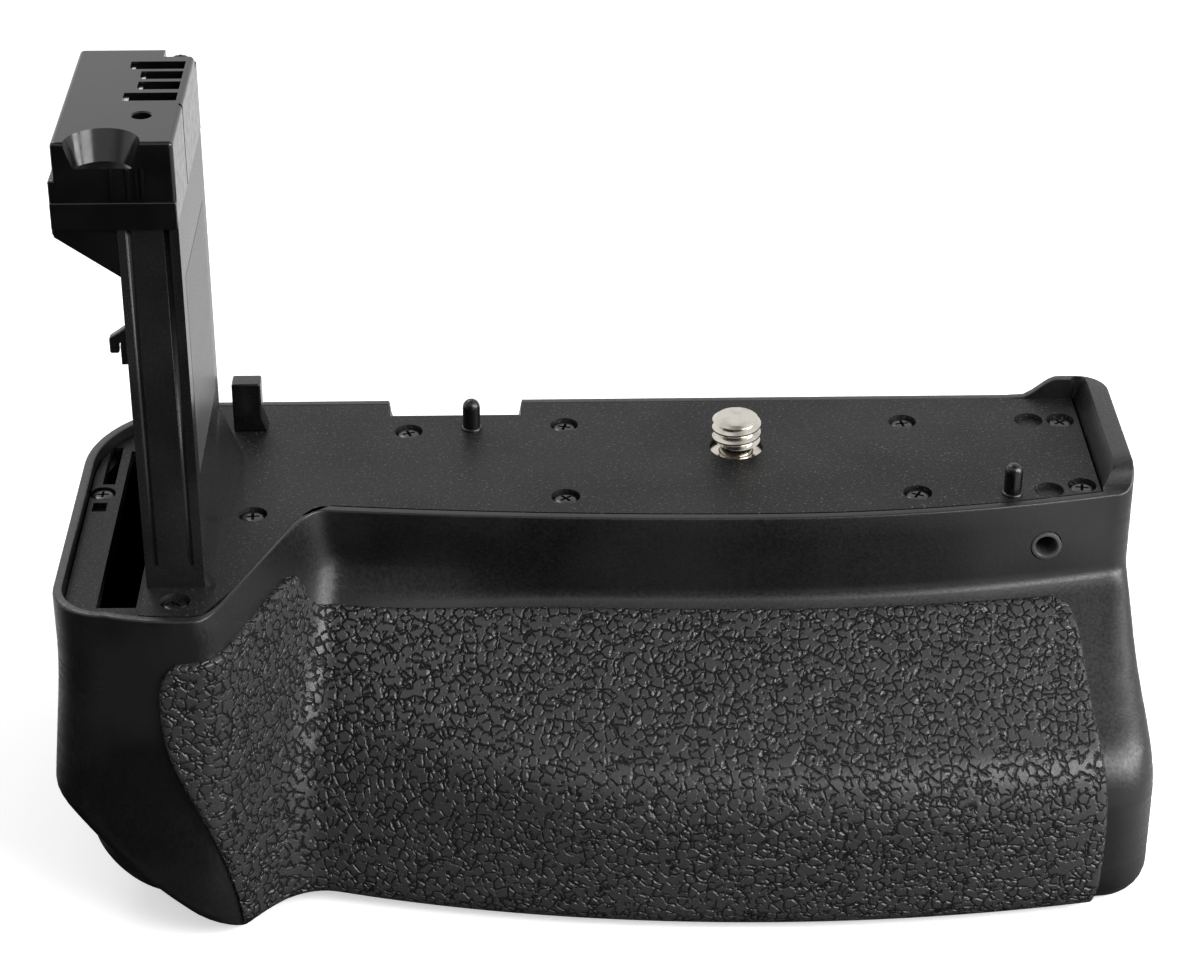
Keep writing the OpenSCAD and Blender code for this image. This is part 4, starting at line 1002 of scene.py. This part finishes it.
@dataclass
class Seat:
    """The flat seat with its screws, pins, guide post, storage frame and screw ring."""

    z: float = SHAPE.seat_z
    screws: tuple[Point, ...] = ((-42.9, 39.6, 20), (-22.4, 41, 75), (-22.4, 21.9, 40), (22.4, 41, 10),
                                 (22.4, 21.9, 62), (43.4, 40.9, 33), (43.6, 23.34, 80), (-61.8, 18.1, 5),
                                 (-69.5, -2.6, 50))
    pins: tuple[Point, ...] = ((-34.6, 40.3), (34.4, 21.4))
    pin_r: float = 1.15
    dome_z: float = 3.15

    def build(self) -> None:
        """Builds the seat's pieces."""
        put_softened("top_plate", "seat_plate", Body.BASE, SEAT, "shell_plastic", 0.14)
        Form.of_node("storage_frame").cut(self.corner_waste()).flattened().soften(0.16).put(
            "door_store_frame", Body.BASE, SEAT, "shell_plastic", "storage_frame")
        self.build_screws()
        self.build_pins()
        put_softened("guide_post", "square_post", Body.BASE, PIN, "shell_plastic", 0.3, 3)
        ring = [(2.15, -1.8), (3.5, -1.8), (3.5, -0.75), (3.35, -0.6), (2.3, -0.6), (2.15, -0.75),
                (2.15, -1.8)]
        Form.turned(ring, along("Z", (0, ROW_Y, self.z)), 64).put(
            "screw_collar", Body.BASE, NICKEL, "nickel", "screw_ring")

    def build_pins(self) -> None:
        """Builds the two pins, each with a small foot and a round top."""
        r, z = self.pin_r, self.dome_z
        turns = [math.radians(a) for a in range(0, 90, 10)]
        foot = [(0, -1.8), (1.35, -1.8), (1.35, 0.18), (1.27, 0.3), (r, 0.36)]
        dome = [(r * math.cos(a), z + r * math.sin(a)) for a in turns]
        pin = Form.turned(foot + dome + [(0, z + r)], steps=40)
        pins = Form()
        for x, y in self.pins:
            pins.join(pin, (x, y, self.z))
        pins.put("locating_pins_pair", Body.BASE, PIN, "gloss_plastic", "locating_pins", weighted=False)

    @staticmethod
    def corner_waste() -> Form:
        """Gives what lies outside the rim's rounded front left corner."""
        radius = SHAPE.front_corner
        x = SHAPE.left + radius
        y = SHAPE.front(x, 0) + radius + ROW_Y
        post = Form.rod(radius - 1.3, 20, 60, Matrix.Translation((x, y, 0)), 96)
        return Form.box((x - 20, y - 20, 30), (x, y, 55)).cut(post)

    def build_screws(self) -> None:
        """Builds the seat's ten screws, each turned as a hand left it."""
        group = Form()
        for x, y, turn in self.screws:
            screw = CrossScrew().form().moved(Matrix.Rotation(math.radians(turn), 4, "Z"))
            group.join(screw, (x, y, self.z - 1.3))
        group.join(CrossScrew(1.5, 0.8).form(), (-81.7, 26.6, self.z - 2.5))
        group.put("seat_screws", Body.BASE, OXIDE, "black_screw", "seat_fixings")


@dataclass
class Tower:
    """The battery-shaped tower: matte shaft with skirt, glossy head, contacts, label and screw."""

    x0: float = -73.2
    x1: float = -66.2
    y0: float = 0.6
    y1: float = 28.1
    top: float = 104.0
    slots: tuple[Point, ...] = ((23.2, 6.4), (20.1, 4.9), (16.9, 4.9), (13.5, 6.2))
    notch_ribs: tuple[float, ...] = (-73.4, -71.5, -70.5, -69.9)

    def build(self) -> None:
        """Builds shaft, head and the small pieces on them."""
        shaft = Form.of_node("tower_shaft")
        shaft.soften(0.7, 4, where=lambda e: all(abs(v.co.x - self.x1) < 0.05 and abs(v.co.y - self.y0) < 0.05
                                                 and v.co.z > 50 for v in e.verts))
        shaft.soften(0.16).fuse(self.claw()).put(
            "tower_upright", Body.BASE, SHAFT, "shell_plastic", "tower_shaft")
        self.build_head()
        put_softened("tower_label", "blank_label", Body.BASE, LABEL, "label_film", 0.04)
        blades = Form()
        for at, length in self.slots:
            x, near, far = self.x1 - 0.8 - length, self.y0 + at - 0.9, self.y0 + at + 0.9
            blade = Form.box((x, near, self.top - 6), (x + 0.6, far, self.top - 0.35))
            blade.fuse(Form.box((x, near, self.top - 6), (self.x1 - 1.6, far, self.top - 5.5)))
            blades.join(blade.soften(0.12))
        blades.put("contact_blades", Body.BASE, NICKEL, "gold_contact", "tower_contacts")
        place = along("Z", (self.x1 - 1.8, self.y1 - 0.3, self.top - 1.6))
        CrossScrew(1.15, 1.1, 0.5, 5).form().moved(place).put(
            "head_corner_screw", Body.BASE, OXIDE, "black_screw", "head_screw")

    def claw(self) -> Form:
        """Gives the hook at the rear left, its tip turned down."""
        x, y, z = self.x0 - 2.5, self.y1 - 2.35, 64.9
        claw = Form.box((x - 3.4, y, z), (x + 0.4, y + 1.3, z + 4.7))
        for v in claw.bm.verts:
            if v.co.x < x - 3 and v.co.z > z + 4:
                v.co.z -= 2.6
        return claw.cut(Form.box((x - 2.2, y - 1, z - 1), (x + 1, y + 3, z + 1.4))).soften(0.25, 3)

    def build_head(self) -> None:
        """Builds the head with finger notch, ribs, contact slots, hole and screw step."""
        x0, x1, y0, rear, top, foot = self.x0, self.x1, self.y0, self.y1 + 1, self.top, self.top - 10
        head = Form.box((x0 - 6.8, y0, foot), (x1, rear, top))
        head.soften(0.55, 4, where=lambda e: max(v.co.z for v in e.verts) > top - 0.1)
        wing = Form.box((x0 - 7.4, y0 + 0.05, foot - 1.4), (x0 + 0.3, rear, top - 4.6)).soften(0.3, 3)
        skirt = Form.box((x0 - 7.35, y0 - 0.3, foot - 0.6), (x1 - 0.02, y0 + 4, top - 7.2)).soften(0.22, 3)
        web = Form.box((x0 - 7.2, y0 + 0.05, foot - 6.8), (x0 + 0.3, rear, foot))
        for v in web.bm.verts:
            if v.co.x < x0 - 3 and v.co.z < foot - 3:
                v.co.z = foot - 1.5
        head.fuse(wing, skirt, web).cut(*self.head_cuts())
        for x in self.notch_ribs:
            head.fuse(Form.box((x - 0.15, y0 - 0.25, top - 7), (x + 0.15, y0 + 0.5, top - 3.2)))
        head.flattened().soften(0.1, 2).put("tower_cap", Body.BASE, GLOSS, "gloss_plastic", "tower_head")

    def head_cuts(self) -> list[Form]:
        """Gives what is cut out of the head: finger notch, hole, contact slots, screw step and groove."""
        x1, y0, y1, top = self.x1, self.y0, self.y1, self.top
        cone = Form.turned([(0, 0), (3.65, 0), (4.35, 3.1), (4.9, 5.5), (0, 5.5)])
        for v in cone.bm.verts:
            v.co.y += (v.co.z - 3.1) * 0.5
        hole = [(0, 0), (1.1, 0), (1.1, 2.85), (1.35, 3.1), (1.35, 5), (0, 5)]
        tools = [cone.moved(Matrix.Translation((self.x0 - 1, y0, top - 3.1))),
                 Form.turned(hole, along("Z", (self.x0 + 2.7, y0 + 8, top - 3)), 32)]
        for at, length in self.slots:
            tools.append(Form.box((x1 - 0.8 - length, y0 + at - 1.2, top - 6),
                                  (x1 - 0.8, y0 + at + 1.2, top + 5)))
        tools.append(Form.box((x1 - 3.6, y1 - 1.6, top - 1.6), (x1 + 5, y1 + 5, top + 5)))
        tools.append(Form.rod(0.52, -9, 9, along("Z", (x1 - 1.8, y1 - 0.3, top - 2)), 24))
        tools.append(Form.box((x1 - 0.4, y0 + 11, top - 11), (x1 + 1, y0 + 11.5, top + 1)))
        return tools


@dataclass
class ScrewDrive:
    """The camera screw with its thread, and the knurled thumbwheel that turns it."""

    wheel_r: float = 19.5
    wheel_z: float = 24.8
    wheel_t: float = 6.0
    grooves: int = 48
    groove_deep: float = 0.5

    def build(self) -> None:
        """Builds screw and wheel."""
        thread = Form.threaded(THREAD_R - 0.62, THREAD_R, 46.9, 50.45)
        ends = [(0, 46.5), (2.5, 46.5), (3.4, 47.3), (3.4, 49.75), (2.6, 50.4), (0, 50.4)]
        thread.keep(Form.turned(ends, steps=64))
        screw = Form.turned([(0, 21.5), (1.8, 21.5), (2.1, 21.8), (2.1, 47.2), (0, 47.2)])
        screw.join(thread).moved(along("Z", (0, ROW_Y, 0))).put(
            "camera_thread_screw", Body.WHEEL, NICKEL, "nickel", "camera_screw", angle=35)
        self.build_wheel()

    def build_wheel(self) -> None:
        """Builds the wheel, its rim waved into grooves."""
        r, z, t = self.wheel_r, self.wheel_z, self.wheel_t
        profile = [(2.1, z), (r - 0.7, z), (r - 0.2, z + 0.25), (r, z + 0.7), (r, z + t - 0.7),
                   (r - 0.2, z + t - 0.25), (r - 0.7, z + t), (r - 2.7, z + t), (r - 3, z + t - 0.3),
                   (r - 3, z + 1.8), (4.5, z + 1.8), (4.5, z + t - 0.2), (4.3, z + t), (2.1, z + t), (2.1, z)]
        wheel = Form.turned(profile, steps=10 * self.grooves)
        for v in wheel.bm.verts:
            reach = math.hypot(v.co.x, v.co.y)
            if reach > r - 1:
                wave = math.cos(self.grooves * math.atan2(v.co.y, v.co.x))
                dent = max(0.0, wave) ** 2 * self.groove_deep
                v.co.x *= 1 - dent / reach
                v.co.y *= 1 - dent / reach
        wheel.moved(along("Z", (0, ROW_Y, 0))).put(
            "knurled_wheel", Body.WHEEL, SHELL, "wheel_plastic", "thumbwheel", angle=50)


@dataclass
class ReleaseButton:
    """The release button on the sloped corner, dished on top, with its bezel."""

    radius: float = 5.5
    rise: float = 4.0

    def build(self) -> None:
        """Builds button and bezel."""
        r, h = self.radius, self.rise
        dish = [(r * s, h - 0.35 * (1 - s ** 2)) for s in (0.82, 0.6, 0.4, 0.2)]
        button = [(0, -4.8), (1.2, -4.8), (1.2, -4.2), (r + 1, -4.2), (r + 1, -3.3), (r, -3.3), (r, h - 0.6),
                  (r - 0.15, h - 0.22), (r - 0.5, h), *dish, (0, h - 0.35)]
        Form.turned(button, corner_place(), 72).put(
            "release_cap", Body.BUTTON, GLOSS, "gloss_plastic", "shutter_button")
        bezel = [(r + 0.08, -2.9), (r + 1.6, -2.9), (r + 1.6, -2.3), (r + 2.9, -2.3), (r + 2.65, 2.5),
                 (r + 2.35, 2.9), (r + 1.9, 3.0), (r + 0.5, 3.0), (r + 0.08, 2.6), (r + 0.08, -2.9)]
        Form.turned(bezel, corner_place(), 72).put(
            "release_bezel", Body.BASE, SHELL, "shell_plastic", "button_bezel")


@dataclass
class JackSocket:
    """The cable-release socket: a raised ring in the band, with its housing behind."""

    bore_r: float = 1.95

    def build(self) -> None:
        """Builds the socket."""
        x, _, z = JACK_AT
        face = SHAPE.front(x, SHAPE.seat_z - z) + ROW_Y
        ring = [(1.3, -11.9), (1.9, -11.9), (1.9, -0.1), (1.95, 0.1), (1.9, 0.25), (1.75, 0.32), (1.5, 0.28),
                (1.36, 0.1), (1.3, -0.15), (1.3, -11.9)]
        socket = Form.turned(ring, along("-Y", (x, face, z)), 56)
        block = Form.box((x - 2, face + 4.2, z - 2.7), (x + 2, face + 13.5, z + 2.7)).soften(0.2)
        block.cut(Form.rod(self.bore_r, 0, 8, along("-Y", (x, face + 12, z))))
        socket.join(block).put("release_socket", Body.BASE, SOCKET, "gloss_plastic", "remote_jack")


@dataclass
class BatteryTray:
    """The sliding tray with its end cap, screws, contacts and lock."""

    screws: tuple[Point, ...] = ((50.4, 11.2, 10.55), (50.4, 41.6, 10.55))

    def build(self) -> None:
        """Builds the tray's pieces."""
        put_softened("battery_tray", "pack_tray", Body.TRAY, SHELL, "shell_plastic", 0.2)
        put_softened("tray_cap", "tray_end", Body.TRAY, SHELL, "shell_plastic", 0.3, 3)
        group = Form()
        for at in self.screws:
            group.join(CrossScrew(1.15, 0.75, 0.7, 5.8).form().moved(along("X", at)))
        group.put("tray_end_screws", Body.TRAY, OXIDE, "black_screw", "cap_fixings")
        put_softened("tray_contacts", "tray_springs", Body.TRAY, GOLD, "gold_contact", 0.05)
        put_softened("lock_knob", "lock_grip", Body.LOCK, GLOSS, "shell_plastic", 0.18, 3)
        put_softened("lock_tongue", "lock_blade", Body.LOCK, STEEL, "steel", 0.12)


@dataclass
class Base:
    """The bottom cover with its screws and the tripod socket with its thread."""

    screws: tuple[Point, ...] = tuple((x, y, 0.9) for x in (-48, -8, 36) for y in (5.6, 46.9))

    def build(self) -> None:
        """Builds the base's pieces."""
        put_softened("bottom_cover", "sole_cover", Body.BASE, SHELL, "shell_plastic", 0.15)
        group = Form()
        for at in self.screws:
            group.join(CrossScrew(1.15, 0.75, 0.7, 5).form().moved(along("-Z", at)))
        group.put("sole_screws", Body.BASE, OXIDE, "black_screw", "cover_fixings")
        socket = Form.turned([(0, 0), (4.25, 0), (4.4, 0.15), (4.4, 7), (0, 7)], steps=64)
        bore = Form.threaded(2.75, THREAD_R, -1, 6)
        lead = Form.turned([(0, -1), (3.9, -1), (2.7, 0.7), (0, 0.7)], steps=64)
        socket.cut(bore, lead).put("tripod_bush", Body.BASE, NICKEL, "nickel", "tripod_socket", angle=35)


class Inside:
    """The CAD nodes that stay as they are behind the shell, with their finishes."""

    FINISHES = {"wheel_cradle": SHELL, "shaft_clip": STEEL, "release_switch": SHAFT, "switch_plate": STEEL,
                "switch_fixings": STEEL, "control_board": BOARD, "board_fixings": STEEL,
                "bay_connector": SHAFT, "tower_fixings": STEEL}

    def dress(self) -> None:
        """Gives each node its material."""
        for name, finish in self.FINISHES.items():
            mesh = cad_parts[name].data
            mesh.materials.clear()
            mesh.materials.append(finish.material())
            LOG.info("%s: kept, %s", name, finish.name)


@dataclass
class Studio:
    """Pale floor, soft lamps, white surround and the camera at the photograph's place, in metres."""

    place: Point = (-0.0252, -0.3202, 0.2407)
    forward: Point = (0.0182, 0.8702, -0.4924)
    lens: float = 93.0
    floor_half: float = 3.0
    floor_z: float = -5e-5

    def build(self) -> None:
        """Builds the stage."""
        self.build_camera()
        self.build_floor()
        self.build_surround()
        self.lamp("key", (0.36, -0.34, 0.42), (0.0, 0.0, 0.03), (0.34, 0.34), 2.6)
        self.lamp("right", (0.46, -0.10, 0.24), (0.02, 0.0, 0.03), (0.30, 0.30), 2.4)
        self.lamp("rear_left", (-0.30, 0.45, 0.55), (-0.02, 0.02, 0.04), (0.26, 0.18), 0.7)

    def build_camera(self) -> None:
        """Builds the camera."""
        lens = bpy.data.cameras.new("camera")
        lens.lens, lens.sensor_width, lens.clip_start = self.lens, 36.0, 0.01
        bpy.context.scene.camera = self.hang("camera", lens, self.place, Vector(self.forward))
        bpy.context.scene.view_settings.view_transform = "Standard"

    def build_floor(self) -> None:
        """Builds the floor: white to the eye, dim in reflections ahead of the object, clear from below."""
        form = bmesh.new()
        bmesh.ops.create_grid(form, x_segments=2, y_segments=2, size=self.floor_half,
                              matrix=Matrix.Translation((0, 0, self.floor_z)))
        mesh = bpy.data.meshes.new("floor")
        form.to_mesh(mesh)
        form.free()
        floor = placed("floor", mesh)
        paint = bpy.data.materials.new("pale_floor")
        tree = fresh_tree(paint)
        path = add(tree, "LightPath").outputs
        pale = add(tree, "BsdfDiffuse", {"Color": linear("f6f6f6")})
        glow = add(tree, "MapRange", (path["Is Camera Ray"], 0.0, 1.0, 0.0, 0.5), **EASED)
        lift = add(tree, "Emission", {"Color": linear("ffffff"), "Strength": glow})
        eye = add(tree, "AddShader", (pale, lift))
        spot = add(tree, "SeparateXYZ", (add(tree, "TexCoord").outputs["Object"],)).outputs
        aside = add(tree, "MapRange", (spot["X"], 0.04, 0.075), **EASED)
        behind = add(tree, "MapRange", (spot["Y"], 0.0, 0.08), **EASED)
        beyond = add(tree, "Math", (aside, behind), operation="MAXIMUM")
        dim, white = linear("141414"), linear("ffffff")
        edge = add(tree, "Emission", {
            "Color": add(tree, "Mix", {0: beyond, 6: dim, 7: white}, **COLOURS).outputs[2]})
        both = add(tree, "MixShader", (path["Is Glossy Ray"], eye, edge))
        below = add(tree, "NewGeometry").outputs["Backfacing"]
        shown = add(tree, "MixShader", (below, both, add(tree, "BsdfTransparent")))
        add(tree, "OutputMaterial", {"Surface": shown})
        mesh.materials.append(paint)

    def build_surround(self) -> None:
        """Builds the surround: white to the eye, softer as light, partly dark in reflections."""
        world = bpy.data.worlds.new("surround")
        bpy.context.scene.world = world
        tree = fresh_tree(world)
        path = add(tree, "LightPath").outputs
        seen = add(tree, "Math", (path["Is Camera Ray"], path["Is Glossy Ray"]), operation="ADD")
        seen = add(tree, "Math", (seen, path["Is Transmission Ray"]), operation="ADD", use_clamp=True)
        way = add(tree, "SeparateXYZ", (add(tree, "TexCoord").outputs["Generated"],)).outputs
        # reflections find it dark low down ahead and dimmer overhead
        ahead = add(tree, "MapRange", (way["Y"], -0.5, -0.14, 1.0, 0.0), **EASED)
        low = add(tree, "MapRange", (way["Z"], 0.5, 0.74, 1.0, 0.0), **EASED)
        aside = add(tree, "MapRange", (way["X"], 0.1, 0.6, 0.95, 0.0), **EASED)
        overhead = add(tree, "MapRange", (way["Z"], 0.88, 0.97, 0.0, 0.75), **EASED)
        shade = add(tree, "Math", (ahead, low), operation="MULTIPLY")
        shade = add(tree, "Math", (shade, aside), operation="MULTIPLY")
        shade = add(tree, "Math", (shade, overhead), operation="MAXIMUM")
        light = add(tree, "Math", (1.0, shade), operation="SUBTRACT")
        shown = add(tree, "Math", (light, path["Is Camera Ray"]), operation="MAXIMUM")
        level = add(tree, "MapRange", {"Value": seen, "To Min": 0.55, "To Max": shown})
        backdrop = add(tree, "Background", {"Color": linear("ffffff"), "Strength": level})
        add(tree, "OutputWorld", {"Surface": backdrop})

    def lamp(self, name: str, place: Point, aim: Point, size: Point, power: float) -> None:
        """Adds a soft rectangular lamp.

        Args:
            name: its name.
            place: where it hangs, in metres.
            aim: what it points at.
            size: its width and height.
            power: its power in watts.
        """
        light = bpy.data.lights.new(name, "AREA")
        light.shape, light.size, light.size_y, light.energy = "RECTANGLE", size[0], size[1], power
        self.hang(name, light, place, Vector(aim) - Vector(place))

    @staticmethod
    def hang(name: str, data: bpy.types.ID, place: Point, way: Vector) -> bpy.types.Object:
        """Gives a camera or a lamp at a place, turned to look along way."""
        made = placed(name, data)
        made.location = place
        made.rotation_mode = "QUATERNION"
        made.rotation_quaternion = way.to_track_quat("-Z", "Y")
        return made


def main() -> None:
    """Builds the stage and every piece, then gives the kept nodes their finishes."""
    logging.basicConfig(level=logging.INFO, format="%(message)s")
    Studio().build()
    for part in (HousingShell(), GripPad(), Seat(), Tower(), ScrewDrive(), ReleaseButton(), JackSocket(),
                 BatteryTray(), Base()):
        LOG.info("building %s", type(part).__name__)
        part.build()
    Inside().dress()


if __name__ == "__main__":
    main()
